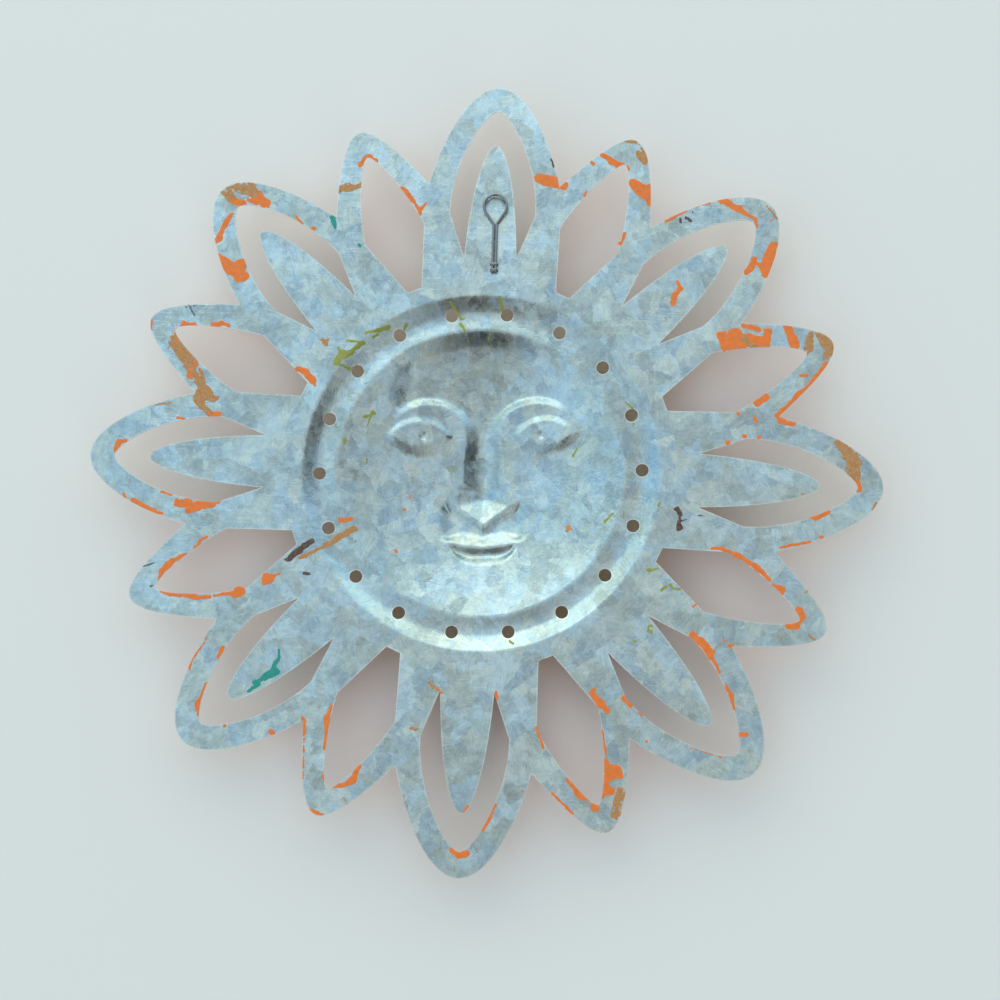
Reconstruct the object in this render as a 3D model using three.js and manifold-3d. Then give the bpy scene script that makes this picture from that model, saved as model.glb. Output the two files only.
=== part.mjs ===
// A wall sun pressed and punched from one sheet of galvanised steel, with a welded wire hanging eye.
// Millimetres, +Z up. The face side looks along -Y and the back, which goes to the wall, along +Y.
// The origin is the middle of the hanging eye.
import * as THREE from 'three';
import { mergeVertices } from 'three/addons/utils/BufferGeometryUtils.js';
import Module from 'manifold-3d';

const wasm = await Module();
wasm.setup();

// Sheet and petal count
const sheetThickness = 0.5;
const petalPairs = 8; // wide petals, with as many narrow ones between them

// Channel and dish, radii from the centre of the sun
const channelRadius = 67.4; // outer bend of the channel round the face
const channelWall = 4.8; // width of the sloping outer wall
const channelFloor = 1.6; // width of the floor, where most of each hole lies
const channelInnerWall = 5.3; // width of the slope up to the ridge
const channelDepth = 3.2;
const ridgeDepth = 1; // how far the ridge lies below the flat petals
const dishDepth = 11; // from the ridge to the middle of the face
const dishPower = 2.4; // how flat the middle of the dish is
const flangeWidth = 1.2; // flat sheet kept round the channel
const holeCount = 18;
const holeDiameter = 4.8;
const holeInset = 6; // from the outer bend in to the circle of holes
const faceTurn = 3.1; // degrees between the face's upright and the top petal

// Wide petal: outline, slot and tongue
const wideTipRadius = 150;
const wideTipRoundness = 10.7;
const wideFlankReach = 20.3;
const wideFlankLean = 13.1; // degrees towards the petal's axis
const notchRadius = 113.8;
const notchAngle = 12.8; // degrees from the wide petal's axis
const wideBand = 9.4; // sheet left outside the slot at the tip
const slotTipRoundness = 4.3;
const slotCornerReach = 21.4;
const slotCornerHalfWidth = 16.4;
const slotCornerLean = -1.7;
const slotEndGap = 15; // sheet between the channel and the sharp inner ends of the slot
const slotEndHalfWidth = 10.05;
const slotCornerRise = 16.8; // from the inner ends out to the corners
const tongueTipGap = 13.9; // open space between the slot's tip and the tongue's
const tongueTipRoundness = 3.9;
const tongueReach = 28;
const tongueLean = 2.6;

// Narrow petal: outline and opening
const narrowTipRadius = 141;
const narrowTipRoundness = 7.1;
const narrowFlankReach = 12;
const narrowFlankLean = 24;
const narrowBand = 10.4;
const openingTipRoundness = 3;
const openingCornerReach = 14;
const openingCornerHalfWidth = 12;
const openingCornerLean = 7.2;
const openingEndGap = 6.9; // sheet between the channel and the opening's short inner edge
const openingEndHalfWidth = 2.85;
const openingCornerRise = 23.3;

// Face relief, sideways and up from the centre of the dish, depths towards the front
const faceShift = -0.6; // the face's middle line from the centre of the dish
const faceTaper = 6; // width over which the relief fades out before the ridge
const socketRadius = 20.6; // the brows are arcs that meet in the crease of the nose
const socketUp = 9.8;
const socketRise = 0.9; // how much nearer the back the eye sockets lie than the plain dish
const browWidth = 3.4;
const browReach = 33; // sideways to where the forehead is half as deep
const browFade = 12; // width over which the forehead fades out
const noseFlare = 5.6; // how much wider the wall gets towards the nose
const foreheadDepth = 1.6;
const noseTop = 24;
const noseBase = -9.6;
const noseTipDepth = 6.2;
const noseUnderside = 8.9; // how far the point of the nose's underside hangs below its top line
const wingAcross = 7.6;
const wingUp = -7;
const wingHalfWidth = 6.6;
const wingHeight = 4.4; // from the widest place of the wing up to its top
const wingDepth = 3.2;
const wingShoulder = 1.15; // the wing starts to rise this much outside its half sizes
const eyeAcross = 24.4;
const eyeUp = 14.8;
const eyeHalfLength = 12.9;
const eyeHalfHeight = 8.2;
const eyeSlope = 3.4;
const eyeRise = 1.9;
const pupilAcross = 22.9;
const pupilRadius = 1.5;
const pupilDepth = 0.8;
const lidRoundness = 0.75; // under 1 the lids are fuller and the corners of the eye blunter
const muzzleHalfWidth = 18.5;
const muzzleTop = -12;
const muzzleSlope = 10;
const muzzleDepth = 2.6;
const muzzleSide = 4; // width of the slope at either side of the muzzle
const lipPeakAcross = 7;
const lipPeakUp = -22.3;
const lipDip = 2.7;
const lipHeight = 2.5; // the upper lip is at least this high
const mouthHalfWidth = 15;
const mouthUp = -28.2;
const mouthCurl = 2.3;
const lowerLipHalfWidth = 12;
const lowerLipCrest = -31.4;
const lowerLipBase = -35.2;
const lowerLipDepth = 2;
const lowerLipSide = 3; // width over which the lower lip fades out at its ends

// Hanging eye
const wireDiameter = 1;
const strandGap = 0.2; // between the two strands of the shank
const seatGap = 0.3; // between the wire and the sheet
const eyeLift = 1.2; // how much further the eye stands off the sheet than its shank
const eyeInnerRadius = 3.9;
const eyeDrop = 24.5; // from the tip of the tongue down to the middle of the eye
const eyeOffset = 1.1; // eye to the top petal's axis
const shankTopDrop = 6.5; // eye down to where the strands meet
const shankEndGap = 8.9; // from the channel up to the ends of the wire
const shankLean = 1.4; // degrees
const weldHalfWidth = 1.7;
const weldHalfLength = 1.05;
const weldHeight = 1.6;
const weldSpacing = 2.3;
const weldGap = 0.12;

// Mesh fineness
const flankSteps = 7;
const tipSteps = 8;
const ringSteps = 80;
const wallRings = 3;
const dishRings = 21;
const halvedRadius = 21; // inside this the rings have half as many steps
const quarteredRadius = 9;
const ringSpread = 0.92; // under 1 the rings lie wider apart next to the ridge
const splitMargin = 0.01; // a square keeps its usual diagonal unless the other fits this much better
const holeSides = 10;
const wireSides = 10;
const wireSteps = 76;

const wireRadius = wireDiameter / 2;
const strandOffset = (wireDiameter + strandGap) / 2; // each strand from the middle of the shank
const petalStep = (2 * Math.PI) / petalPairs;
const plateBack = -(wireRadius + seatGap + eyeLift);
const holeCircle = channelRadius - holeInset;
const ridgeRadius = channelRadius - channelWall - channelFloor - channelInnerWall;
const flangeRadius = channelRadius + flangeWidth;
const slotTipRadius = wideTipRadius - wideBand;
const tongueTipRadius = slotTipRadius - tongueTipGap;
const eyeRadius = tongueTipRadius - eyeDrop; // from the centre of the sun
const shankLength = eyeRadius - shankTopDrop - channelRadius - shankEndGap;
const radians = THREE.MathUtils.degToRad;
const rise = (t) => THREE.MathUtils.smoothstep(t, 0, 1);
const mix = THREE.MathUtils.lerp;

// Half of a petal's edge along an upright axis: it leaves its foot leaning in and meets the tip squarely.
function halfEdge(foot, lean, reach, tipRadius, roundness, steps) {
  const angle = radians(lean);
  const curve = new THREE.CubicBezierCurve(
    foot,
    new THREE.Vector2(foot.x - reach * Math.sin(angle), foot.y + reach * Math.cos(angle)),
    new THREE.Vector2(roundness, tipRadius),
    new THREE.Vector2(0, tipRadius)
  );
  return curve.getPoints(steps);
}

const mirrored = (points) => points.map((p) => new THREE.Vector2(-p.x, p.y)).reverse();
const turned = (points, angle) =>
  points.map((p) => p.clone().rotateAround(new THREE.Vector2(), -angle));

// Both flanks of a petal from one foot over the tip to the other; the tip point appears once.
function wholeEdge(half) {
  return [...half, ...mirrored(half).slice(1)];
}

const onCircle = (radius, angle) =>
  new THREE.Vector2(radius * Math.sin(angle), radius * Math.cos(angle));

function outerOutline() {
  const notch = radians(notchAngle);
  const wide = wholeEdge(halfEdge(onCircle(notchRadius, notch), wideFlankLean, wideFlankReach,
    wideTipRadius, wideTipRoundness, tipSteps));
  const narrow = wholeEdge(halfEdge(onCircle(notchRadius, petalStep / 2 - notch), narrowFlankLean,
    narrowFlankReach, narrowTipRadius, narrowTipRoundness, flankSteps));
  const points = [];
  for (let i = petalPairs; i > 0; i -= 1) {
    points.push(...turned(wide, i * petalStep).slice(1));
    points.push(...turned(narrow, (i - 0.5) * petalStep).slice(1));
  }
  return points;
}

// The slot runs round the tongue: out along one side, over the tip, in again, and back along the tongue.
function slotOutline() {
  const slotEnd = new THREE.Vector2(slotEndHalfWidth, channelRadius + slotEndGap);
  const corner = new THREE.Vector2(slotCornerHalfWidth, slotEnd.y + slotCornerRise);
  const outside = halfEdge(corner, slotCornerLean, slotCornerReach, slotTipRadius,
    slotTipRoundness, tipSteps);
  const tongue = halfEdge(slotEnd, tongueLean, tongueReach, tongueTipRadius,
    tongueTipRoundness, flankSteps);
  return [...wholeEdge(outside), ...wholeEdge(tongue).reverse()];
}

function openingOutline() {
  const end = new THREE.Vector2(openingEndHalfWidth, channelRadius + openingEndGap);
  const corner = new THREE.Vector2(openingCornerHalfWidth, end.y + openingCornerRise);
  const side = halfEdge(corner, openingCornerLean, openingCornerReach,
    narrowTipRadius - narrowBand, openingTipRoundness, flankSteps);
  return wholeEdge([end, ...side]);
}

// A nearly even slope from 0 to 1 with rounded ends
function slope(t) {
  return mix(THREE.MathUtils.clamp(t, 0, 1), rise(t), 0.4);
}

// Depth of the plain pressing at a radius: flat petals, channel, ridge and dish.
function pressedDepth(radius) {
  const floorEnd = channelRadius - channelWall - channelFloor;
  if (radius >= floorEnd) return channelDepth * rise((channelRadius - radius) / channelWall);
  if (radius >= ridgeRadius) return mix(channelDepth, ridgeDepth, rise((floorEnd - radius) / channelInnerWall));
  return ridgeDepth + dishDepth * (1 - Math.pow(radius / ridgeRadius, dishPower));
}

// Forehead, brows and nose: one wall runs from the brows down both sides of the nose, deep on the
// forehead's side and near on the side of the eye sockets. It follows a circle and then goes straight down.
function browAndNose(side, up) {
  const inside = socketRadius - Math.hypot(side - socketRadius, Math.max(0, up - socketUp));
  const width = browWidth + noseFlare * Math.pow(Math.max(0, 1 - side / socketRadius), 1.5);
  const wall = 1 - slope(inside / width);
  const forehead = foreheadDepth * rise((browReach - side) / browFade + 0.5);
  const down = THREE.MathUtils.clamp((noseTop - up) / (noseTop - noseBase), 0, 1);
  const deep = side < socketRadius ? mix(forehead, noseTipDepth, down) : forehead;
  const near = -socketRise * rise(up / socketUp) * rise((2 * socketRadius - side) / socketUp);
  const ridge = mix(near, deep, wall);
  const fromWing = Math.hypot((side - wingAcross) / wingHalfWidth, Math.max(0, up - wingUp) / wingHeight);
  const wing = mix(-socketRise, wingDepth, slope(2 * (wingShoulder - fromWing)));
  const span = wingAcross + wingHalfWidth;
  const tip = noseBase - noseUnderside * Math.max(0, 1 - side / span);
  const underside = Math.max(0, (noseTipDepth / noseUnderside) * (up - tip));
  return up > socketUp ? ridge : Math.min(Math.max(ridge, wing), underside);
}

// Muzzle, lips and mouth
function mouthDepth(side, up) {
  const along = Math.min(side, mouthHalfWidth);
  const lipTop = lipPeakUp - lipDip * Math.pow((along - lipPeakAcross) / (mouthHalfWidth - lipPeakAcross), 2);
  const mouthLine = mouthUp + mouthCurl * Math.pow(along / mouthHalfWidth, 2);
  const muzzle = rise((muzzleHalfWidth - side) / muzzleSide) * rise((muzzleTop - up) / muzzleSlope);
  const upper = muzzleDepth * muzzle * slope((up - mouthLine) / Math.max(lipHeight, lipTop - mouthLine));
  const share = Math.pow(Math.min(1, side / lowerLipHalfWidth), 2);
  const crest = mix(lowerLipCrest, mouthLine - 0.5, share);
  const base = mix(lowerLipBase, mouthLine - 1, share);
  const lower = up > crest ? (mouthLine - up) / (mouthLine - crest) : (up - base) / (crest - base);
  return upper + lowerLipDepth * slope(lower) * rise((lowerLipHalfWidth - side) / lowerLipSide);
}

// The almond of the eye lies nearer the back than its socket, and the pupil is a dot pressed forward.
function eyeDepth(side, up) {
  const share = 1 - Math.pow((side - eyeAcross) / eyeHalfLength, 2);
  const halfHeight = share > 0 ? eyeHalfHeight * Math.pow(share, lidRoundness) : 0;
  const almond = eyeRise * slope((halfHeight - Math.abs(up - eyeUp)) / eyeSlope);
  const pupil = pupilDepth * rise(1.3 - Math.hypot(side - pupilAcross, up - eyeUp) / pupilRadius);
  return pupil - almond;
}

// Depth of the whole pressing at a place on the face: across and up in the face's own upright.
function sheetDepth(across, up) {
  const radius = Math.hypot(across, up);
  const plain = pressedDepth(radius);
  if (radius >= ridgeRadius) return plain;
  const side = Math.abs(across - faceShift);
  const relief = browAndNose(side, up) + mouthDepth(side, up) + eyeDepth(side, up);
  return plain + relief * rise((ridgeRadius - radius) / faceTaper);
}

// Radii of the rings from the flange to the middle: steps down the wall, up the slope and over the dish.
function ringRadii() {
  const wallFoot = channelRadius - channelWall;
  const floorEnd = wallFoot - channelFloor;
  const radii = [flangeRadius];
  for (let i = 0; i <= wallRings; i += 1) radii.push(channelRadius - (channelWall * i) / wallRings);
  for (let i = 0; i <= wallRings; i += 1) radii.push(floorEnd - (channelInnerWall * i) / wallRings);
  for (let i = 1; i <= dishRings; i += 1) radii.push(ridgeRadius * Math.pow(1 - i / dishRings, ringSpread));
  return radii;
}

// How far a straight edge between two places on the face leaves the pressed surface in its middle.
function edgeError(p, q) {
  return Math.abs((p.depth + q.depth) / 2 - sheetDepth((p.across + q.across) / 2, (p.up + q.up) / 2));
}

// Triangles between two rings whose counts are equal or differ by a factor of two. Each square is
// split along the diagonal that lies closer to the surface.
function bandBetween(outer, inner, triangle) {
  const count = outer.length;
  const same = inner.length === count;
  for (let i = 0; i < count; i += same ? 1 : 2) {
    const a = outer[i];
    const b = outer[(i + 1) % count];
    const c = inner[same ? i : i / 2];
    const d = inner[(same ? i + 1 : i / 2 + 1) % inner.length];
    if (!same) {
      triangle(a, b, c);
      triangle(b, d, c);
      triangle(b, outer[(i + 2) % count], d);
    } else if (edgeError(b, c) < edgeError(a, d) + splitMargin) {
      triangle(a, b, c);
      triangle(b, d, c);
    } else {
      triangle(a, b, d);
      triangle(a, d, c);
    }
  }
}

// The closed sheet: flat petals filled inside their outlines, the dish as rings, walls at the cut edges.
function sheetGeometry() {
  const turn = radians(faceTurn);
  const positions = [];
  const put = (x, depth, z) => positions.push(x, -depth, z);
  // One triangle on the back and its mate on the front, given in the order that faces the back
  const both = (a, b, c) => {
    put(a.x, a.depth, a.z);
    put(b.x, b.depth, b.z);
    put(c.x, c.depth, c.z);
    put(a.x, a.depth + sheetThickness, a.z);
    put(c.x, c.depth + sheetThickness, c.z);
    put(b.x, b.depth + sheetThickness, b.z);
  };

  const rings = ringRadii().map((radius) => {
    const whole = radius > halvedRadius ? ringSteps : radius > quarteredRadius ? ringSteps / 2 : ringSteps / 4;
    const count = radius > 0 ? whole : 1;
    return Array.from({ length: count }, (_, i) => {
      const angle = (2 * Math.PI * i) / count;
      const place = onCircle(radius, angle + turn);
      const { x: across, y: up } = onCircle(radius, angle);
      return { x: place.x, z: place.y, across, up, depth: sheetDepth(across, up) };
    });
  });
  for (let i = 1; i < rings.length - 1; i += 1) bandBetween(rings[i - 1], rings[i], both);
  const last = rings[rings.length - 2];
  const middle = rings[rings.length - 1][0];
  last.forEach((p, i) => both(p, last[(i + 1) % last.length], middle));

  const outline = outerOutline();
  const cuts = [];
  for (let i = 0; i < petalPairs; i += 1) {
    cuts.push(turned(slotOutline(), i * petalStep));
    cuts.push(turned(openingOutline(), (i + 0.5) * petalStep));
  }
  const flange = rings[0].map((p) => new THREE.Vector2(p.x, p.z));
  const corner = (p) => ({ x: p.x, z: p.y, depth: 0 });
  const anticlockwise = (points) => (THREE.ShapeUtils.isClockWise(points) ? [...points].reverse() : points);
  const edge = anticlockwise(outline);
  const holes = [...cuts, flange].map((points) => [...anticlockwise(points)].reverse());
  const all = [edge, ...holes].flat();
  THREE.ShapeUtils.triangulateShape(edge, holes).forEach(([a, b, c]) => {
    both(corner(all[a]), corner(all[c]), corner(all[b]));
  });

  // Cut edges: the outline runs anticlockwise and the cuts clockwise, so the sheet is always on the left
  [edge, ...holes.slice(0, -1)].forEach((loop) => {
    loop.forEach((p, i) => {
      const q = loop[(i + 1) % loop.length];
      put(p.x, 0, p.y);
      put(q.x, 0, q.y);
      put(q.x, sheetThickness, q.y);
      put(p.x, 0, p.y);
      put(q.x, sheetThickness, q.y);
      put(p.x, sheetThickness, p.y);
    });
  });
  const geometry = new THREE.BufferGeometry();
  geometry.setAttribute('position', new THREE.Float32BufferAttribute(positions, 3));
  return geometry;
}

function solid(geometry) {
  const bare = geometry.clone();
  bare.deleteAttribute('normal');
  bare.deleteAttribute('uv');
  const merged = mergeVertices(bare, 1e-4);
  return new wasm.Manifold(new wasm.Mesh({
    numProp: 3,
    vertProperties: merged.attributes.position.array,
    triVerts: new Uint32Array(merged.index.array)
  }));
}

function geometryOf(body) {
  const mesh = body.getMesh();
  const geometry = new THREE.BufferGeometry();
  geometry.setAttribute('position', new THREE.BufferAttribute(mesh.vertProperties, 3));
  geometry.setIndex(new THREE.BufferAttribute(mesh.triVerts, 1));
  return geometry;
}

function sunPlate() {
  const punchLength = 4 * (channelDepth + sheetThickness);
  let plate = solid(sheetGeometry());
  for (let i = 0; i < holeCount; i += 1) {
    const angle = (2 * Math.PI * (i + 0.5)) / holeCount + radians(faceTurn);
    const place = onCircle(holeCircle, angle);
    const punch = new THREE.CylinderGeometry(holeDiameter / 2, holeDiameter / 2, punchLength, holeSides);
    punch.translate(place.x, -channelDepth, place.y);
    plate = plate.subtract(solid(punch));
  }
  return geometryOf(plate);
}

// Centre line of the wire: up one strand, round the eye and down the other, in the plane of the eye.
function wireLine() {
  const ring = eyeInnerRadius + wireRadius;
  const spread = Math.acos(ring / shankTopDrop); // from straight down to where a flank leaves the ring
  const flank = Math.PI / 2 - spread;
  const bend = 2 * wireRadius;
  const bendTop = new THREE.Vector2(strandOffset + bend * Math.sin(flank), -shankTopDrop + bend * Math.cos(flank));
  const end = -shankTopDrop - shankLength;
  const line = new THREE.Path();
  line.moveTo(strandOffset, end);
  line.lineTo(strandOffset, -shankTopDrop - bend / 2);
  line.quadraticCurveTo(strandOffset, -shankTopDrop + bend / 4, bendTop.x, bendTop.y);
  line.absarc(0, 0, ring, -Math.PI / 2 + spread, (3 * Math.PI) / 2 - spread, false);
  line.lineTo(-bendTop.x, bendTop.y);
  line.quadraticCurveTo(-strandOffset, -shankTopDrop + bend / 4, -strandOffset, -shankTopDrop - bend / 2);
  line.lineTo(-strandOffset, end);
  return line;
}

// The eye stands off the sheet, and below it the wire comes down to lie along the sheet as the shank.
function wireStandoff(z) {
  return -eyeLift * rise(-z / shankTopDrop);
}

function hangerWire() {
  const line = wireLine().getSpacedPoints(wireSteps);
  const points = line.map((p) => new THREE.Vector3(p.x, wireStandoff(p.y), p.y));
  const section = new THREE.Shape();
  section.absarc(0, 0, wireRadius, 0, 2 * Math.PI, false);
  return new THREE.ExtrudeGeometry(section, {
    curveSegments: wireSides / 2,
    steps: wireSteps,
    bevelEnabled: false,
    extrudePath: new THREE.CatmullRomCurve3(points, false, 'centripetal')
  });
}

// A spot weld: an oval bead over both strands, clear of the wire and of the sheet by the weld gap.
function weld(up) {
  const seat = weldGap - (eyeLift + wireRadius + seatGap);
  const length = 4 * weldHalfLength; // the cutters run right through the bead
  const sleeveRadius = wireRadius + weldGap;
  const bead = new THREE.SphereGeometry(1, 20, 12);
  bead.scale(weldHalfWidth, weldHeight, weldHalfLength);
  bead.translate(0, seat, up);
  const below = new THREE.BoxGeometry(4 * weldHalfWidth, 4 * weldHeight, length);
  below.translate(0, seat - 2 * weldHeight, up);
  const under = new THREE.BoxGeometry(2 * (strandOffset + sleeveRadius), 2 * wireDiameter, length);
  under.translate(0, -eyeLift - wireDiameter, up);
  const sleeves = [-strandOffset, strandOffset].map((x) => {
    const sleeve = new THREE.CylinderGeometry(sleeveRadius, sleeveRadius, length, 2 * wireSides);
    return sleeve.rotateX(Math.PI / 2).translate(x, -eyeLift, up);
  });
  return geometryOf([below, under, ...sleeves].reduce((body, cut) => body.subtract(solid(cut)), solid(bead)));
}

const zinc = new THREE.MeshStandardMaterial({ color: 0xb3c4cd, roughness: 0.42, metalness: 0.9 });
const wireSteel = new THREE.MeshStandardMaterial({ color: 0x8d8f8c, roughness: 0.35, metalness: 1 });
const weldSteel = new THREE.MeshStandardMaterial({ color: 0x74787a, roughness: 0.55, metalness: 0.9 });

function piece(name, geometry, material) {
  geometry.computeVertexNormals();
  const mesh = new THREE.Mesh(geometry, material);
  mesh.name = name;
  return mesh;
}

const plate = piece('sun_plate', sunPlate(), zinc);
plate.position.set(eyeOffset, plateBack, -eyeRadius);

const lowerWeldUp = -shankTopDrop - shankLength + weldHalfLength;
const hanger = new THREE.Group();
hanger.add(
  piece('hanger_wire', hangerWire(), wireSteel),
  piece('upper_weld', weld(lowerWeldUp + weldSpacing), weldSteel),
  piece('lower_weld', weld(lowerWeldUp), weldSteel)
);
hanger.rotation.y = radians(shankLean);

const sun = new THREE.Group();
sun.add(plate, hanger);

export default sun;
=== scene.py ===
# Looks for a wall sun stamped from galvanised sheet, seen from the back. Shapes are worked out in
# millimetres round the centre of the sun, then placed in metres in the part's own frame.
import bpy
import numpy as np
from mathutils import Matrix, Vector


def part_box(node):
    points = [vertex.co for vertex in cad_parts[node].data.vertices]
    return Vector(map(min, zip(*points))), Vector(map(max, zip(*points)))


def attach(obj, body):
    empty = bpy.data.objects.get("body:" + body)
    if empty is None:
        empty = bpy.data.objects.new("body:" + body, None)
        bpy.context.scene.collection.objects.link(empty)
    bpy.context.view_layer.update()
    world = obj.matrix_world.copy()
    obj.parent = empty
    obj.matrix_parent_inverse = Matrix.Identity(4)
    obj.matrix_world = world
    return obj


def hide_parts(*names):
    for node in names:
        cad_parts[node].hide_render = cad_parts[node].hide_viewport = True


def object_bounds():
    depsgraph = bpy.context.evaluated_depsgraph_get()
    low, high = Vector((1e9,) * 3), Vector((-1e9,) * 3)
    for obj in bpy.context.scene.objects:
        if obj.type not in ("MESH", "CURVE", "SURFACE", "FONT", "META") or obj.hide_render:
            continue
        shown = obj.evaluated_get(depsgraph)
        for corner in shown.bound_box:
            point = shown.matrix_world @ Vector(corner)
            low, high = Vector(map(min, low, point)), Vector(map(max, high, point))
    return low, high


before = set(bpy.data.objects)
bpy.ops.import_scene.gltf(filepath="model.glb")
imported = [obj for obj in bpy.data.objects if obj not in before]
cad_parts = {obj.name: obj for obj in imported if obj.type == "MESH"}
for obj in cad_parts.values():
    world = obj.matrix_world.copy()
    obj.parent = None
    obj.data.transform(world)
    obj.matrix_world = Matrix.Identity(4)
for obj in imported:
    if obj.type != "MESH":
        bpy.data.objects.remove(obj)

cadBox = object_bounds()

plateLow, plateHigh = (np.array(corner) * 1000 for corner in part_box("sun_plate"))
sunCentre = np.array([(plateLow[0] + plateHigh[0]) / 2, plateHigh[1], (plateLow[2] + plateHigh[2]) / 2])
print("frame loaded, centre of the sun at", sunCentre.round(2))


def ramp(t):
    # smooth step: 3 t squared less 2 t cubed from 0 to 1, and level outside
    t = np.clip(t, 0, 1)
    return t * t * (3 - 2 * t)


def blend(a, b, t):
    # a where t is 0, b where t is 1, and in proportion between them
    return a + (b - a) * t


# The shape of the pressing. From the outside in: flat petals, an outer bend, a straight wall, a rounded
# trough with the holes, a band that comes back a little, a crease, and the dish
pressing = {
    "thickness": 0.5,
    "channelRadius": 67.6, "wallFoot": 61.9, "wallSlope": 0.68, "bandStart": 59.6, "bandSlope": 0.21,
    "creaseRadius": 54.8, "bendWidth": 0.5, "troughWidth": 1.2, "dishDepth": 10.8, "dishPower": 2.1,
    "flangeRadius": 68.9, "holeRing": 61.4,
    "holeCount": 18, "holeRadius": 2.4, "faceTurn": 3.1,
    "petalWarp": 0.22, "warpLengths": (23, 31, 17, 41), "warpFade": 30,
}


def hinge(t, width):
    # half of t plus the root of t squared and width squared: 0 on one side, t on the other, rounded between
    return (t + np.sqrt(t ** 2 + width ** 2)) / 2


def pressedDepth(radius, s=pressing):
    # straight runs joined by hinges, and inside the crease a dish that deepens with a power of the radius
    bend, trough = s["bendWidth"], s["troughWidth"]
    wall = hinge(s["channelRadius"] - radius, bend) - hinge(s["wallFoot"] - radius, trough)
    band = hinge(s["bandStart"] - radius, trough) - hinge(s["creaseRadius"] - radius, bend)
    dish = s["dishDepth"] * (1 - np.minimum(radius / s["creaseRadius"], 1) ** s["dishPower"])
    return np.maximum(s["wallSlope"] * wall - s["bandSlope"] * band, 0) + dish


face = {
    "shift": -0.6, "taper": 6.0,
    "socketRadius": 20.6, "socketUp": 9.8, "socketRise": 0.6,
    "browWidth": 3.8, "noseFlare": 8.2, "flarePower": 1.5, "foreheadDepth": 1.9,
    "noseTop": 24.0, "noseBase": -9.6, "noseTipDepth": 4.0, "noseCurve": 1.15, "noseUnderside": 9.6,
    "wingReach": 14.2, "wingSpread": 11.5, "wingUp": -5.5, "wingHeight": 4.0, "wingRound": 0.08,
    "browReach": 31.0, "browFade": 12.0,
    "eyeAcross": 24.4, "eyeUp": 14.8, "eyeHalfLength": 12.9, "eyeHalfHeight": 8.2,
    "upperLid": 3.4, "lowerLid": 5.0, "eyeRise": 1.5, "almondPower": 0.75,
    "pupilAcross": 22.9, "pupilRadius": 1.5, "pupilDepth": 0.8,
    "muzzleHalfWidth": 18.0, "muzzleFade": 6, "muzzleSlope": 4.6, "muzzleDepth": 2.2,
    "lipPeakAcross": 7.0, "lipPeakUp": -22.3, "lipDip": 2.7, "lipLeast": 2.5,
    "mouthHalfWidth": 15.0, "mouthUp": -28.2, "mouthCurl": 2.3,
    "lowerLipHalfWidth": 13.5, "lowerLipCrest": -31.4, "lowerLipBase": -35.2, "lowerLipDepth": 2.0,
    "lowerLipFade": 3, "cornerCrest": 0.5, "cornerBase": 1,  # the last two are below the mouth line
}


def slope(t):
    # a nearly even slope with rounded ends
    return blend(np.clip(t, 0, 1), ramp(t), 0.4)


def undersideFoot(side, f=face):
    # the foot of the nose's underside: a wide V
    return f["noseBase"] - f["noseUnderside"] * np.maximum(0, 1 - side / f["wingReach"])


def browAndNose(side, up, f=face):
    # one wall from the brows down both sides of the nose: deep inside, near the back in the eye sockets
    inside = f["socketRadius"] - np.hypot(side - f["socketRadius"], np.maximum(0, up - f["socketUp"]))
    down = np.clip((f["noseTop"] - up) / (f["noseTop"] - f["noseBase"]), 0, 1) ** f["noseCurve"]
    flare = f["noseFlare"] * np.maximum(0, 1 - side / f["socketRadius"]) ** f["flarePower"]
    flare = flare * np.minimum(1, 2 * down)
    wall = 1 - slope(inside / (f["browWidth"] + flare))
    forehead = f["foreheadDepth"] * ramp((f["browReach"] - side) / f["browFade"] + 0.5)
    deep = np.where(side < f["socketRadius"], blend(forehead, f["noseTipDepth"], down), forehead)
    near = -f["socketRise"] * ramp(up / f["socketUp"]) * ramp((2 * f["socketRadius"] - side) / f["socketUp"])
    ridge = blend(near, deep, wall)
    # the wings widen the nose below their tops: from the ridge out to their reach the sheet rises evenly
    fromWing = np.hypot(side / f["wingSpread"], np.maximum(0, up - f["wingUp"]) / f["wingHeight"])
    wing = (f["noseTipDepth"] + f["socketRise"]) * hinge(1 - fromWing, f["wingRound"]) - f["socketRise"]
    underside = np.maximum(0, f["noseTipDepth"] / f["noseUnderside"] * (up - undersideFoot(side)))
    return np.where(up > f["socketUp"], ridge, np.minimum(np.maximum(ridge, wing), underside))


def mouthDepth(side, up, f=face):
    # a muzzle with an upper lip that comes back to the mouth line, and a lower lip below it
    along = np.minimum(side, f["mouthHalfWidth"])
    lipTop = f["lipPeakUp"] - f["lipDip"] * (
        (along - f["lipPeakAcross"]) / (f["mouthHalfWidth"] - f["lipPeakAcross"])) ** 2
    mouthLine = f["mouthUp"] + f["mouthCurl"] * (along / f["mouthHalfWidth"]) ** 2
    muzzle = ramp((f["muzzleHalfWidth"] - side) / f["muzzleFade"])
    muzzle = muzzle * ramp((undersideFoot(side) - up) / f["muzzleSlope"])
    lipHeight = np.maximum(f["lipLeast"], lipTop - mouthLine)
    upper = f["muzzleDepth"] * muzzle * slope((up - mouthLine) / lipHeight)
    share = np.minimum(1, side / f["lowerLipHalfWidth"]) ** 3
    crest = blend(f["lowerLipCrest"], mouthLine - f["cornerCrest"], share)
    base = blend(f["lowerLipBase"], mouthLine - f["cornerBase"], share)
    lower = np.where(up > crest, (mouthLine - up) / (mouthLine - crest), (up - base) / (crest - base))
    sideways = ramp((f["lowerLipHalfWidth"] - side) / f["lowerLipFade"])
    return upper + f["lowerLipDepth"] * slope(lower) * sideways


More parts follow.
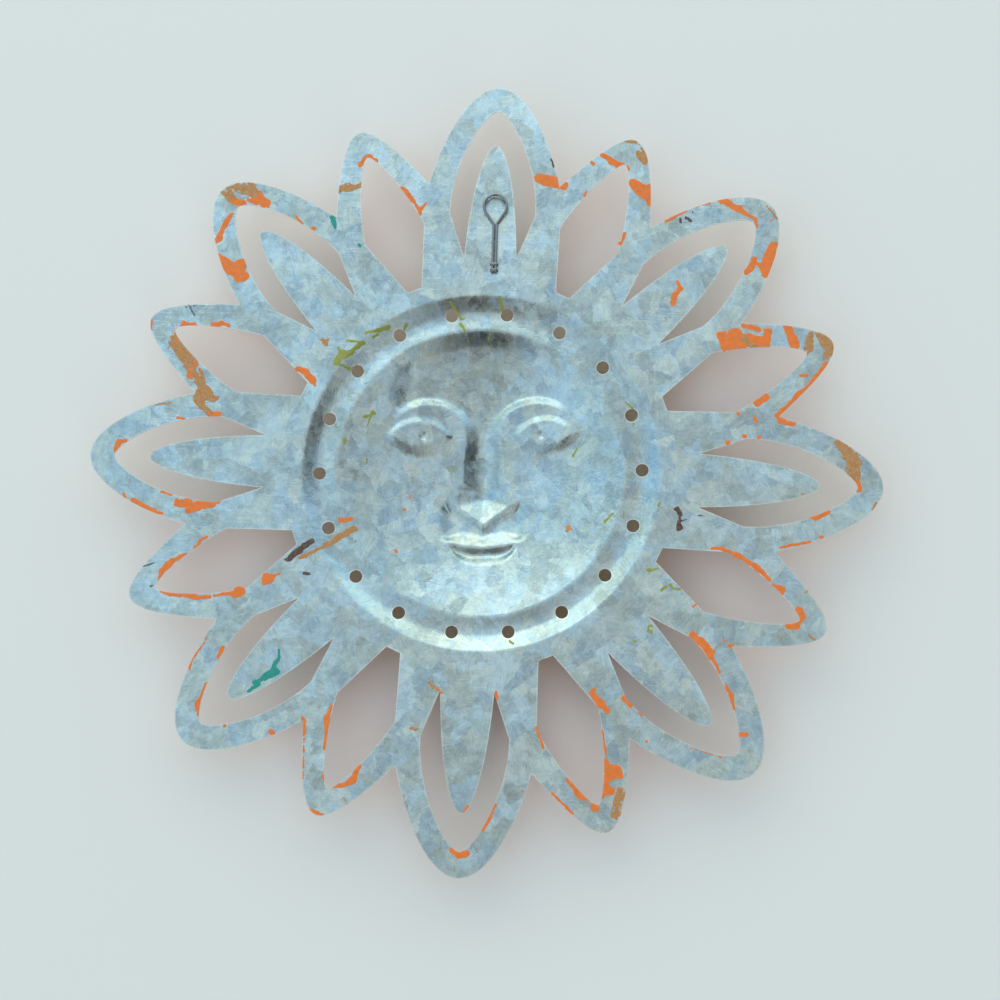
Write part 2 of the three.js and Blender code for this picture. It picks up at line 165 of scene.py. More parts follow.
def eyeDepth(side, up, f=face):
    # an almond nearer the back than its socket, with a dot for the pupil pressed forward
    share = 1 - ((side - f["eyeAcross"]) / f["eyeHalfLength"]) ** 2
    halfHeight = f["eyeHalfHeight"] * np.maximum(share, 0) ** f["almondPower"]
    lid = blend(f["lowerLid"], f["upperLid"], ramp((up - f["eyeUp"]) / f["eyeHalfHeight"] + 0.5))
    almond = f["eyeRise"] * slope((halfHeight - np.abs(up - f["eyeUp"])) / lid)
    fromPupil = np.hypot(side - f["pupilAcross"], up - f["eyeUp"]) / f["pupilRadius"]
    return f["pupilDepth"] * ramp(1.3 - fromPupil) - almond


def sheetDepth(x, z, s=pressing, f=face):
    # depth of the back surface below the flat petals, at a place on the sheet
    turn = np.radians(s["faceTurn"])
    across, up = x * np.cos(turn) - z * np.sin(turn), x * np.sin(turn) + z * np.cos(turn)
    radius = np.hypot(across, up)
    side = np.abs(across - f["shift"])
    relief = browAndNose(side, up) + mouthDepth(side, up) + eyeDepth(side, up)
    # the petals' warp: two products of sine waves, faded out towards the channel
    a, b, c, d = s["warpLengths"]
    warp = np.sin(x / a + 1) * np.sin(z / b + 2) + 0.6 * np.sin((x + z) / c) * np.sin((x - z) / d)
    warp = s["petalWarp"] * warp * ramp((radius - s["channelRadius"]) / s["warpFade"])
    relief = relief * ramp((s["creaseRadius"] - radius) / f["taper"])
    return pressedDepth(radius) + relief + np.maximum(warp, 0)


# Petal edges along an upright axis: each half edge is a curve from its foot to the tip, met squarely
petals = {
    "pairs": 8,
    "notchRadius": 113.8, "notchAngle": 12.8,
    "wideTip": 150.0, "wideRoundness": 10.7, "wideReach": 20.3, "wideLean": 13.1,
    "slotTip": 140.6, "slotRoundness": 4.3, "slotReach": 21.4, "slotLean": -1.7, "slotCorner": (16.4, 99.2),
    "slotEnd": (10.05, 82.4),
    "tongueTip": 126.7, "tongueRoundness": 3.9, "tongueReach": 28.0, "tongueLean": 2.6,
    "narrowTip": 141.0, "narrowRoundness": 7.1, "narrowReach": 12.0, "narrowLean": 24.0,
    "openingTip": 130.6, "openingRoundness": 3.0, "openingReach": 14.0, "openingLean": 7.2,
    "openingCorner": (12.0, 97.6), "openingEnd": (2.85, 74.3),
    "alongSteps": 34, "bandSteps": 6, "webSteps": 10, "rootSteps": 8,
    "columns": (8, 16, 3),  # along the flange under the tongue, the web and the opening
}


def halfEdge(foot, lean, reach, tip, roundness, steps):
    # a cubic Bezier curve that leaves its foot at the lean and comes level to the tip
    t = np.linspace(0, 1, steps + 1)[:, None]
    lean = np.radians(lean)
    controls = [np.array(foot), np.array(foot) + reach * np.array([-np.sin(lean), np.cos(lean)]),
                np.array([roundness, tip]), np.array([0.0, tip])]
    weights = [(1 - t) ** 3, 3 * t * (1 - t) ** 2, 3 * t ** 2 * (1 - t), t ** 3]
    return sum(w * c for w, c in zip(weights, controls))


def turned(points, degrees):
    # the points turned clockwise round the centre
    a = np.radians(degrees)
    return np.stack([points[..., 0] * np.cos(a) + points[..., 1] * np.sin(a),
                     points[..., 1] * np.cos(a) - points[..., 0] * np.sin(a)], -1)


def onCircle(radius, degrees):
    # radius times sine and cosine of a clock angle
    a = np.radians(degrees)
    return np.stack([radius * np.sin(a), radius * np.cos(a)], -1)


def ruled(first, second, steps):
    # a grid of straight lines between two edges with the same number of points
    t = np.linspace(0, 1, steps + 1)[None, :, None]
    return first[:, None] * (1 - t) + second[:, None] * t


def straight(a, b, steps):
    # evenly spaced points from a to b
    return blend(np.array(a), np.array(b), np.linspace(0, 1, steps + 1)[:, None])


def gridFaces(rows, columns, start=0):
    # a face between every four neighbouring points of a grid, numbered row by row
    i = np.arange(rows * columns).reshape(rows, columns) + start
    return np.stack([i[:-1, :-1], i[1:, :-1], i[1:, 1:], i[:-1, 1:]], -1).reshape(-1, 4)


def ringFaces(rings, count, start=0, flipped=False):
    # the same for closed rings of points, whose last point is joined to the first
    i = np.arange(rings * count).reshape(rings, count) + start
    j = np.roll(i, -1, 1)
    faces = np.stack([i[:-1], j[:-1], j[1:], i[1:]], -1)
    return i, j, faces[..., [0, 3, 2, 1]] if flipped else faces


def sectorPatches(p=petals, s=pressing):
    # half a wide petal and half a narrow one, from the wide petal's axis to the narrow one's
    half = 180 / p["pairs"]
    mirror = np.array([-1, 1])
    notch = onCircle(p["notchRadius"], p["notchAngle"])
    steps, flange = p["alongSteps"], s["flangeRadius"]

    def edge(kind, foot):
        return halfEdge(foot, *(p[kind + part] for part in ("Lean", "Reach", "Tip", "Roundness")), steps)

    wide, slot, tongue = edge("wide", notch), edge("slot", p["slotCorner"]), edge("tongue", p["slotEnd"])
    narrow = turned(mirror * edge("narrow", onCircle(p["notchRadius"], half - p["notchAngle"])), half)
    opening = turned(mirror * edge("opening", p["openingCorner"]), half)
    slotEnd, slotCorner = np.array(p["slotEnd"]), np.array(p["slotCorner"])
    openingEnd = turned(mirror * np.array(p["openingEnd"]), half)
    openingMiddle = turned(np.array([0, p["openingEnd"][1]]), half)
    openingCorner = opening[0]
    tongueAxis = tongue * [0, 1]
    under, web, neck = p["columns"]
    column = half / sum(p["columns"])
    flangeArc = onCircle(flange, np.arange(sum(p["columns"]) + 1) * column)
    roots = p["rootSteps"]
    patches = [
        ruled(tongueAxis, tongue, under),
        ruled(flangeArc[:under + 1], straight(tongueAxis[0], slotEnd, under), roots).swapaxes(0, 1),
        ruled(flangeArc[under:under + web + 1], straight(slotEnd, openingEnd, web), roots).swapaxes(0, 1),
        ruled(flangeArc[under + web:], straight(openingEnd, openingMiddle, neck), roots).swapaxes(0, 1),
        ruled(*(straight(end, corner, p["webSteps"])
                for end, corner in ((slotEnd, slotCorner), (openingEnd, openingCorner))), web),
        ruled(*(straight(corner, notch, p["bandSteps"]) for corner in (slotCorner, openingCorner)), web),
        ruled(slot, wide, p["bandSteps"]),
        ruled(narrow, opening, p["bandSteps"]),
    ]
    cuts = [tongue, slot, wide, straight(slotEnd, slotCorner, 30), straight(openingEnd, openingCorner, 40),
            straight(openingEnd, openingMiddle, 8), opening, narrow]
    return patches, cuts


def distanceTo(points, line):
    # nearest distance from each point to a line of short straight pieces
    a, b = line[:-1][None], line[1:][None]
    along = ((points[:, None] - a) * (b - a)).sum(-1) / np.maximum(((b - a) ** 2).sum(-1), 1e-9)
    nearest = a + np.clip(along, 0, 1)[..., None] * (b - a)
    return np.hypot(*(points[:, None] - nearest).transpose(2, 0, 1)).min(1)


def petalGrid(p=petals):
    patches, cuts = sectorPatches()
    points, faces, start = [], [], 0
    for patch in patches:
        rows, columns = patch.shape[:2]
        faces.append(gridFaces(rows, columns, start))
        points.append(patch.reshape(-1, 2))
        start += rows * columns
    tongue = (np.arange(start) < len(points[0])).astype(float)
    points, faces = np.concatenate(points), np.concatenate(faces)
    edgeGap = np.min([distanceTo(points, cut) for cut in cuts], 0)
    # every patch's faces are made to turn the same way round
    corner = points[faces]
    area = np.cross(corner[:, 2] - corner[:, 0], corner[:, 3] - corner[:, 1])
    faces = np.where((area > 0)[:, None], faces[:, ::-1], faces)
    allPoints, allFaces = [], []
    for i in range(p["pairs"]):
        for mirror in (1, -1):
            allPoints.append(turned(points * [mirror, 1], i * 360 / p["pairs"]))
            allFaces.append((faces if mirror == 1 else faces[:, ::-1]) + len(allFaces) * len(points))
    copies = len(allPoints)
    allPoints, allFaces = np.concatenate(allPoints), np.concatenate(allFaces)
    return allPoints, allFaces, np.tile(edgeGap, copies), np.tile(tongue, copies)


faceRings = {
    "outside": (68.4, 68.0, 67.6, 67.2, 66.7, 66.1, 65.5),  # radii, close together over the outer bend
    "window": 4, "rowStep": 0.9,  # rows left free on each side of a hole, and how far apart they are
    "firstStep": 0.8, "ringStep": 0.75, "halvings": (32, 16, 8, 1.2),  # radii where every second column ends
    "grow": (0, 0.12, 0.3, 0.55, 1),  # rings from a hole's edge out to its square
}


def faceGrid(p=petals, s=pressing, r=faceRings):
    # rings round the face, halved in number towards the middle, with a square of rings left for each hole
    columns = 2 * p["pairs"] * sum(p["columns"])
    turn, holeRing = s["faceTurn"], s["holeRing"]
    window, rowStep, ringStep = r["window"], r["rowStep"], r["ringStep"]
    column = 360 / columns
    outside = [s["flangeRadius"], *r["outside"]]
    rowsIn = holeRing + rowStep * np.arange(window, -window - 1, -1)
    inside = np.arange(rowsIn[-1] - r["firstStep"], r["halvings"][0], -ringStep)
    radii = np.concatenate([outside, rowsIn, inside])
    angles = turn + column * np.arange(columns)
    angles = np.repeat(angles[None], len(radii), 0)
    angles[0] = column * (np.arange(columns) + round(turn / column))  # in line with the petals' own columns
    points = [onCircle(radii[:, None], angles).reshape(-1, 2)]
    i, j, quads = ringFaces(len(radii), columns)
    keep = np.ones(quads.shape[:2], bool)
    pitch = columns // s["holeCount"]
    fromHole = (np.arange(columns) - pitch // 2 + window) % pitch
    top = len(outside)
    keep[top:top + 2 * window, fromHole < 2 * window] = False
    faces = [quads[keep]]
    triangles = []
    start = len(radii) * columns
    last = i[-1]
    count, radius = columns, radii[-1]
    for inner in r["halvings"][1:]:
        count //= 2
        rings = np.arange(radius - ringStep, inner, -ringStep)
        angle = turn + 360 / count * np.arange(count)
        points.append(onCircle(rings[:, None], np.repeat(angle[None], len(rings), 0)).reshape(-1, 2))
        i, j, quads = ringFaces(len(rings), count, start)
        start += i.size
        faces.append(quads.reshape(-1, 4))
        a, b, c = last[::2], last[1::2], np.roll(last[::2], -1)
        d, e = i[0], j[0]
        triangles += [np.stack([a, b, d], -1), np.stack([b, e, d], -1), np.stack([b, c, e], -1)]
        last, radius = i[-1], rings[-1]
    points.append(np.zeros((1, 2)))
    triangles.append(np.stack([last, np.roll(last, -1), np.full(count, start)], -1))
    start += 1
    points = np.concatenate(points)
    # round each hole, rings grow from its edge to the square that was left out
    w = np.arange(-window, window)
    right, left = np.full(2 * window, window), np.full(2 * window, -window)
    squareColumns = np.concatenate([w, right, -w, left])
    squareRows = np.concatenate([right, -w, left, w])
    grow = np.array(r["grow"])[:, None, None]
    for hole in range(s["holeCount"]):
        angle = turn + (hole + 0.5) * 360 / s["holeCount"]
        square = onCircle(holeRing + rowStep * squareRows, angle + column * squareColumns)
        middle = onCircle(holeRing, angle)
        outwards = square - middle
        edge = middle + s["holeRadius"] * outwards / np.hypot(*outwards.T)[:, None]
        ring = edge * (1 - grow) + square * grow
        i, j, quads = ringFaces(*ring.shape[:2], start, True)
        faces.append(quads.reshape(-1, 4))
        points = np.concatenate([points, ring.reshape(-1, 2)])
        start += i.size
    holes = onCircle(holeRing, turn + (np.arange(s["holeCount"]) + 0.5) * 360 / s["holeCount"])
    gap = np.hypot(*(points[:, None] - holes[None]).transpose(2, 0, 1)).min(1) - s["holeRadius"]
    return points, np.concatenate(faces), np.concatenate(triangles), gap


def buildMesh(name, points, quads, triangles=(), attributes=None, materials=(), slots=None, sharp=None):
    # points in metres in the part's frame; slots gives each face's material, sharp the crisp edges
    mesh = bpy.data.meshes.new(name)
    corners = np.concatenate([np.asarray(quads, int).ravel(), np.asarray(triangles, int).ravel()])
    sizes = np.concatenate([np.full(len(quads), 4), np.full(len(triangles), 3)])
    mesh.vertices.add(len(points))
    mesh.vertices.foreach_set("co", np.asarray(points, float).ravel())
    mesh.loops.add(len(corners))
    mesh.loops.foreach_set("vertex_index", corners.astype(np.int32))
    mesh.polygons.add(len(sizes))
    mesh.polygons.foreach_set("loop_start", (np.cumsum(sizes) - sizes).astype(np.int32))
    if slots is not None:
        mesh.polygons.foreach_set("material_index", np.asarray(slots, np.int32))
    mesh.update(calc_edges=True)
    for key, values in (attributes or {}).items():
        mesh.attributes.new(key, "FLOAT", "POINT").data.foreach_set("value", np.asarray(values, float))
    if sharp is not None:
        ends = np.empty(2 * len(mesh.edges), np.int32)
        mesh.edges.foreach_get("vertices", ends)
        crisp = np.isin(pairKey(ends.reshape(-1, 2)), pairKey(sharp))
        mesh.attributes.new("sharp_edge", "BOOLEAN", "EDGE").data.foreach_set("value", crisp)
    mesh.validate()
    if sharp is None:
        mesh.shade_smooth()
    else:
        mesh.polygons.foreach_set("use_smooth", np.ones(len(sizes), bool))
    piece = bpy.data.objects.new(name, mesh)
    bpy.context.scene.collection.objects.link(piece)
    for material in materials:
        mesh.materials.append(material)
    return piece


def pairKey(pairs):
    # one number for each pair of points, whichever comes first
    pairs = np.sort(np.asarray(pairs, np.int64), 1)
    return pairs[:, 0] * 2 ** 32 + pairs[:, 1]


def merged(points, quads, triangles, *values):
    # points that lie on one another become one
    keys = np.round(points * 200 + 0.137).astype(np.int64)
    first, number = np.unique(keys, axis=0, return_index=True, return_inverse=True)[1:]
    number = number.ravel()
    quads, triangles = number[quads], number[triangles]
    # a quad with two corners in one place becomes a triangle
    double = quads == np.roll(quads, -1, 1)
    drawnIn = double.any(1)
    turn = (np.argmax(double[drawnIn], 1)[:, None] + [1, 2, 3]) % 4
    triangles = np.concatenate([triangles, np.take_along_axis(quads[drawnIn], turn, 1)])
    return (points[first], quads[~drawnIn], triangles, *(v[first] for v in values))


def openEdges(quads, triangles):
    # edges with a face on one side only, in that face's own order
    sides = np.concatenate([faces[:, [i, (i + 1) % faces.shape[1]]]
                            for faces in (quads, triangles) for i in range(faces.shape[1])])
    keys, index, count = np.unique(pairKey(sides), return_index=True, return_counts=True)
    return sides[index[count == 1]]


# Shader helpers
class Socket:
    # an output of a shader node that can be added, multiplied and so on
    def __init__(self, finish, out):
        self.finish, self.out = finish, out

    def maths(self, operation, *others, **settings):
        values = dict(enumerate((self, *others)))
        return self.finish.node("ShaderNodeMath", {"operation": operation, **settings}, values)

    def __add__(self, other): return self.maths("ADD", other)
    def __radd__(self, other): return self.maths("ADD", other)
    def __mul__(self, other): return self.maths("MULTIPLY", other)
    def __rmul__(self, other): return self.maths("MULTIPLY", other)
    def __sub__(self, other): return self.maths("SUBTRACT", other)
    def __truediv__(self, other): return self.maths("DIVIDE", other)
    def __pow__(self, other): return self.maths("POWER", other)

    def __rsub__(self, other):
        return self.finish.node("ShaderNodeMath", {"operation": "SUBTRACT"}, {0: other, 1: self})

    def most(self, other): return self.maths("MAXIMUM", other)
    def least(self, other): return self.maths("MINIMUM", other)
    def held(self): return self.maths("ADD", 0.0, use_clamp=True)

    def step(self, low, high):
        # smooth step from 0 at low to 1 at high
        return self.finish.node("ShaderNodeMapRange", {"interpolation_type": "SMOOTHSTEP"},
                                {"Value": self, "From Min": low, "From Max": high})


class Finish:
    # a material, or a world, and the nodes that make its look
    def __init__(self, name, kind="materials"):
        self.owner = getattr(bpy.data, kind).new(name)
        self.owner.use_nodes = True
        self.tree = self.owner.node_tree
        self.shader = self.tree.nodes.get("Principled BSDF")

    def node(self, kind, settings=None, values=None, output=0):
        # a node of the kind with its settings, and values or links on its sockets
        made = self.tree.nodes.new(kind)
        for key, value in (settings or {}).items():
            setattr(made, key, value)
        for key, value in (values or {}).items():
            if isinstance(value, Socket):
                self.tree.links.new(value.out, made.inputs[key])
            else:
                made.inputs[key].default_value = value
        return Socket(self, made.outputs[output])

    def parts(self, vector, kind="XYZ"):
        # the three numbers of a vector, or of a colour
        split = self.node("ShaderNodeSeparate" + kind, {}, {0: vector}).out.node
        return [Socket(self, out) for out in split.outputs]

    def rays(self, *kinds):
        # what the light path says about the ray that arrives
        path = self.tree.nodes.new("ShaderNodeLightPath")
        return [Socket(self, path.outputs[kind]) for kind in kinds]

    def set(self, **values):
        for key, value in values.items():
            socket = self.shader.inputs[key.replace("_", " ")]
            if isinstance(value, Socket):
                self.tree.links.new(value.out, socket)
            else:
                socket.default_value = value

    def place(self, scale=(1, 1, 1), turn=(0, 0, 0)):
        # the place on the object in millimetres, stretched and turned
        here = self.node("ShaderNodeTexCoord", output="Object")
        return self.node("ShaderNodeMapping", {}, {
            "Vector": here, "Rotation": turn, "Scale": tuple(1000 * k for k in scale)})

    def noise(self, vector, scale, detail=2.0, roughness=0.5, output=0, **more):
        return self.node("ShaderNodeTexNoise", {}, {
            "Vector": vector, "Scale": scale, "Detail": detail, "Roughness": roughness, **more}, output)

    def mix(self, factor, a, b, blend="MIX"):
        settings = {"data_type": "RGBA", "blend_type": blend}
        return self.node("ShaderNodeMix", settings, {0: factor, 6: a, 7: b}, 2)

    def vectors(self, operation, a, b=None, scale=None):
        values = {0: a}
        if b is not None:
            values[1] = b
        if scale is not None:
            values[3] = scale
        return self.node("ShaderNodeVectorMath", {"operation": operation}, values)

    def attribute(self, name):
        return self.node("ShaderNodeAttribute", {"attribute_name": name}, output="Fac")

    def bump(self, height, strength, distance, normal=None):
        values = {"Height": height, "Strength": strength, "Distance": distance}
        if normal is not None:
            values["Normal"] = normal
        return self.node("ShaderNodeBump", {}, values)

    def colours(self, factor, stops):
        # a ramp through the given stops: position and colour
        made = self.tree.nodes.new("ShaderNodeValToRGB")
        elements = made.color_ramp.elements
        while len(elements) < len(stops):
            elements.new(0.5)
        for element, (position, colour) in zip(elements, stops):
            element.position, element.color = position, (*colour, 1)
        self.tree.links.new(factor.out, made.inputs[0])
        return Socket(self, made.outputs[0])


# Paint that ran round the cut edges from the front
overspill = {
    "reach": 151, "cell": 0.32,  # the square grid that the marks are worked out on
    "wander": 0.55, "wanderSize": 2.8, "flow": 0.22,  # how far strokes stray and flow together
    "ragged": 0.16, "edgeInset": 0.04, "lift": 0.012, "film": 0.05, "swellWidth": 0.5,
    "streak": (7, 0.6), "margin": 2.5,
    "pooled": (0.72, 0.62, 0.6, 1), "bare": (0.42, 0.47, 0.47, 1),
    "spread": {"orange": 1.2, "ochre": 1.3, "green": 0.65},
    "orange": (0.94, 0.215, 0.018), "ochre": (0.56, 0.235, 0.04), "brown": (0.10, 0.045, 0.025),
    "green": (0.33, 0.37, 0.035), "teal": (0.012, 0.33, 0.27), "slate": (0.10, 0.14, 0.17),
    "streaky": {"orange": 0.12, "ochre": 0.8, "brown": 0.35, "green": 0.45, "slate": 0.6},
}
# Marks petal by petal, clockwise from the top as seen from the back: colour, then from and to as (across, out
# from the centre), and half the width, at both ends where they differ. A mark without a colour has the one
# before's
petalMarks = {
    0: "orange 17.5,114 24.5,112.5 1.8; brown 21.5,122 22.5,119 0.4",
    1: "orange -18,114 -24.5,112.5 1.6; -9.5,130.5 0,129.5 1; -2,129 1,129.5 1.2; -12.5,126.5 -11,126 0.6; "
       "5.5,125.5 14,123 1.6 2; 12,126 15.5,121 1.3; ochre 2.5,137 6.5,134.5 1; -4.5,139.5 3,141 0.5; "
       "3,139 6.5,136 0.5; orange 11,106 11.5,102 0.7; -9,115 -9,113 0.4",
    2: "orange -15.5,138 -8,140 1.3 1; -8,140 0,142 0.9 0.6; 0,141.5 2,140.5 0.5; ochre 11.5,141 13,137 1; "
       "orange 12,140 14,134 1.5; 14,137 18,131 1.8; 13.5,131 18,130.5 0.8; 11,131 12.5,125.5 1.1; "
       "-23,117 -20.5,127 0.5; -20.5,127 -17,134 0.4; brown -18.5,123.5 -16.5,124 0.6; "
       "-20,121.5 -19,121 0.5; -19,126.5 -18.5,126.5 0.4; orange -3,104 0,103 0.6; 0,103 0.5,99 0.9; "
       "0.5,99 2,97 1; ochre -5,149.5 5,148 0.3; orange 4,146.5 4,146 0.3",
    3: "ochre -4,138 2,139.5 2.2; 2,139.5 4,137 1; -6,134.5 -1,131.5 1; -1,131.5 0,129 1; "
       "orange -12,127.5 -4,127.5 1.3; -12,119.5 -8,117.5 1.7; -12,113 -9,117 2; -15.5,108 -10.5,108 2.4; "
       "-16.5,103.5 -12,103.5 1.8; -14.5,117 -18,112 0.8; ochre -13,110 -9,114 1.5; "
       "orange 7,136 10.5,130 1; 10.5,130 14.5,121 0.8; 14.5,121 18.5,112.5 0.7; 18.5,112 21,112.5 0.8; "
       "21,112.5 23.5,116.5 0.8; 8,127.5 7.5,125.5 0.5; 10.5,110.5 11.5,106.5 1.3; 16.5,104 18.5,104 0.4; "
       "21.5,98 22,98 0.5; 13,98.5 13.5,98.5 0.5; 22,92 22,90.5 0.3",
    4: "ochre -16,133.5 -10,138.5 1.6 2.6; -10,138.5 -4,139.5 2.8 2.2; orange -2,140.5 0.5,140.5 1.2; "
       "ochre 5,147.5 8,146 0.3; orange 9.5,130 12,126 0.9; 12,126 11.5,123 0.7; 19,128 19,127.5 0.5; "
       "21,124 23.5,113 0.4; 3.5,121 3.5,120.5 0.4; -17.5,104.5 -17,104 0.5; -17.5,98.5 -17.5,98 0.5; "
       "-15,92.5 -15,92 0.4; -23.5,102.5 -24.5,102 0.5; brown 11.5,74.5 13,75.5 1.2; 13,75.5 17,75.5 0.6; "
       "17,75.5 18,76 1.2; 16,75 14.5,78.5 0.3; 13,84 13,82.5 0.3; green 9,68 10,67.5 0.8; "
       "13.5,67 14.5,66 0.5",
    5: "orange -3,129 -1.5,130.5 1.2; -1.5,130.5 2,130 1.3; 2,130 3.5,127.5 0.9; -8,121 -6,121 0.7; "
       "-8,120 -7.5,116.5 0.9; -9,114.5 -10.5,111 0.7; -10.5,110 -12,103 1; -12,103 -12,100 1; "
       "-12,98 -12,94 0.6; -11.5,93.5 -10.5,91 0.5; 11,94 12,93.5 0.4; ochre 4,138.5 3.5,136 0.3; "
       "8,126.5 9,127.5 0.3; -11,128.5 -10.5,128 0.4; orange 19,112 19,111.5 0.8; 18.5,109 18.5,108.5 0.3; "
       "24,107 22,102 1; 22,102 21.5,98 1; green 8.5,84 8,82.5 1; 8,87 9,84 0.6",
    6: "orange -7.5,138 -4.5,136 0.7; -10,128 -12.5,124 0.9; -12.5,124 -14,120.5 0.6; "
       "-15.5,115 -17,110 0.5; -17,109 -18,105 1; -18,105 -17.5,99 1; 5,138 11,128 0.2; "
       "17,101 17,98.5 0.8; 16,108 16,106 0.4; 21.5,116 21.5,115.5 0.4; 24.5,98 24,89 0.9; "
       "green -7,88 -6.5,86.5 1; 0,86.5 1,85.5 0.8",
    7: "ochre -9.5,129 -5,136 1.4; -6,136 -4.5,136 0.9; orange 1,131 2,131 1; -6,127.5 -4,127 1.3; "
       "-5,125 -2,128 1.2; -2,128.5 2,128 0.6; 2,128 5,125.5 0.8; 5,125.5 7.5,118 0.9 0.5; "
       "-11.5,123 -6,122.5 1.3; -10.5,121 -7.5,119 1.6; -7.5,119 -8,116.5 0.8; -9,114 -10.5,106 0.4; "
       "-13.5,97.5 -12.5,97 0.8; -13,96.5 -12,91.5 1; 12,105 12,97 0.4; 9.5,131 14.5,121 0.4; "
       "22,82 21.5,80 0.4; 24.5,117 24.5,116.5 0.3; -23.5,101 -22.5,98 0.8",
    8: "orange -3,140.5 0,141.5 1.2; 0,141.5 2,140 1; -8.5,132 -9.5,130 0.5; -10,129 -11,126 0.7; "
       "-11,126 -12.5,123 0.4; -2.5,124.5 -1,126 0.7; -11,84.5 -10.5,82.5 0.4; 9.5,83.5 10.5,82.5 0.4; "
       "ochre 11,82 14,80.5 0.7; 18,97.5 20,97 0.5",
    9: "orange -3,140.5 4,140.5 0.8; -7,124.5 -4,127.5 0.9; -4,127.5 0,129 0.8; 0,129 3,127.5 0.8; "
       "-7,124 -7,118 1.2 0.7; 7.5,118 9.5,112 0.5; 9.5,112 11.5,107.5 0.8; 11.5,107.5 12,103 0.5; "
       "14,122.5 14,122 0.3; 17,116.5 18.5,113 0.7; 18.5,112.5 20,112 0.6; ochre -9,132.5 -7,131 0.4; "
       "orange 9,133 16,118 0.2; ochre -19,81 -17.5,79.5 0.6",
    10: "orange -0.5,139.5 3,139 0.4; 3,138 6,137 1; 6,137 7,134.5 0.7; 7,134 9.5,129 0.5; "
        "-7,134.5 -6,133 0.5; -21.5,123 -20.5,123 0.9; 14,119 15.5,116.5 0.9; 18,130.5 20,128 0.5; "
        "20,127 22,118 0.3; 23.5,86 24.5,86.5 1.3; 23,84 21.5,81 0.2; brown 16,75 14,73 0.5; "
        "24,76 24,68 0.9; teal -3.5,119.5 -4,115 0.6 0.9; -2.5,115 -4,111 1; -4,111 -4.5,107 1.6; "
        "-3.5,107 -1.5,102.5 1 0.5; -1.5,102.5 0.5,101 0.5",
    11: "orange -3.5,126.5 -1.5,128.5 0.9; -1.5,128.5 1,128.5 0.4; 1.5,128 5,126.5 0.8; "
        "5,126.5 7.5,121.5 1; 7.5,121.5 8,115 0.8 0.4; -3.5,126.5 -6,122 0.7; -6,122 -9,117 1; "
        "-9,117 -10.5,112 0.6; -10.5,110 -11.5,104 0.5; -12.5,102.5 -12.5,100 1.5; -12,90 -11.5,88 1.3; "
        "-11.5,86.5 -11.5,84 0.2; 9.5,111.5 10,109 0.5; 11,109 11.5,105.5 0.5; 24,109 24,102 1.2; "
        "brown -14,75 -15,73.5 0.5; -7,79 -5.5,73.5 1 1.3; -5,73 -3.5,68.5 1; slate 1,132.5 1,131 0.3; "
        "9,132.5 9,128 0.3",
    12: "orange 2,140 5,139 0.9; 5,139 5.5,137 0.7; -17.5,132 -21,123 0.9 0.6; -21,123 -22,120 0.5; "
        "-14.5,136 -16.5,135 0.4; -18,115 -16.5,115 0.8; -17.5,113.5 -16.5,110 1.2; -19,109 -18,106 1.3; "
        "-18,107 -17,101 1.3; -17,101 -16.5,98.5 0.6; -13.5,121 -14.5,117 0.4; 15.5,117 15,114.5 0.4; "
        "17.5,105 17.5,101 0.8; ochre 17.5,106.5 23.5,109.5 1 1.5; 23,104 25,109 1.2; 20,126 21,120 0.3",
    13: "ochre -22,108 -15,112 1.4; -24,103 -22,109 1; -17.5,104 -16,109 1.3; -15,112 -8,121 1.7 3; "
        "-8,121 -5,127 3.2; orange -13.5,117 -9,118 1.5; -4.5,127 -1,129 1.2; -1,129 3.5,128.5 0.7; "
        "3,128.5 5,124.5 0.8; 7.5,117.5 9.5,115.5 0.9; 9.5,115.5 10,112 0.6; 6,80 6.5,77 1; "
        "6,76.5 4.5,72.5 1.3; 3.5,71.5 3,71 0.5; ochre 19.5,76 20.5,74.5 0.8; orange -5.5,138.5 0,141 0.3; "
        "green 15.5,67.5 19,67 1.8; 19,66 21,63.5 1.5; slate 8,126 12,132 0.3; 9,131 12,127 0.3",
    14: "ochre 0.5,149 0.5,144 1.6; orange 0,143.5 2,140.5 1.3; ochre 2.5,149 5,148 0.8; "
        "5.5,146 8,143.5 2; 8,143.5 8.5,139 2; orange 8.5,138.5 8.5,134.5 1.9; 5,140 6,137 0.8; "
        "-9,138.5 -4,140 1.2 0.8; -16,136.5 -13,136 1; -13,137 -9,138.5 0.9; -19,132 -18.5,127 1.3; "
        "-18.5,127 -17.5,123 2.2; -18,123 -15,122 2.4; -18.5,119.5 -16.5,118 1.6; "
        "ochre -15.5,123 -14,121 1.2; -14.5,140 -13,143 0.4; orange 14,122 14,118 0.4; "
        "15.5,114.5 16,113.5 0.6; teal 22.5,110 24,112 0.7; 22,109 22.5,109 0.4; "
        "ochre -10.5,78 -10.5,76.5 0.8; green -13,68 -9,69 1.3; -9,68 -2,67 1; -2,67 2,66 0.5",
    15: "orange -3.5,128.5 -1.5,130 0.8; -1.5,130 1,130.5 0.9; 1,130 3,128 0.7; "
        "ochre -14.5,122.5 -6,121.5 1.3; orange 8.5,114 9.5,112 0.6; 9.5,112 11,108 0.8; "
        "11,108 12,102 0.5; 12,102.5 13,103.5 0.4; 13,104 15.5,105 0.5; teal -21,113 -19.5,112.5 0.7; "
        "-20.5,111 -21,108.5 0.7; -14.5,99 -14,98 0.5",
}
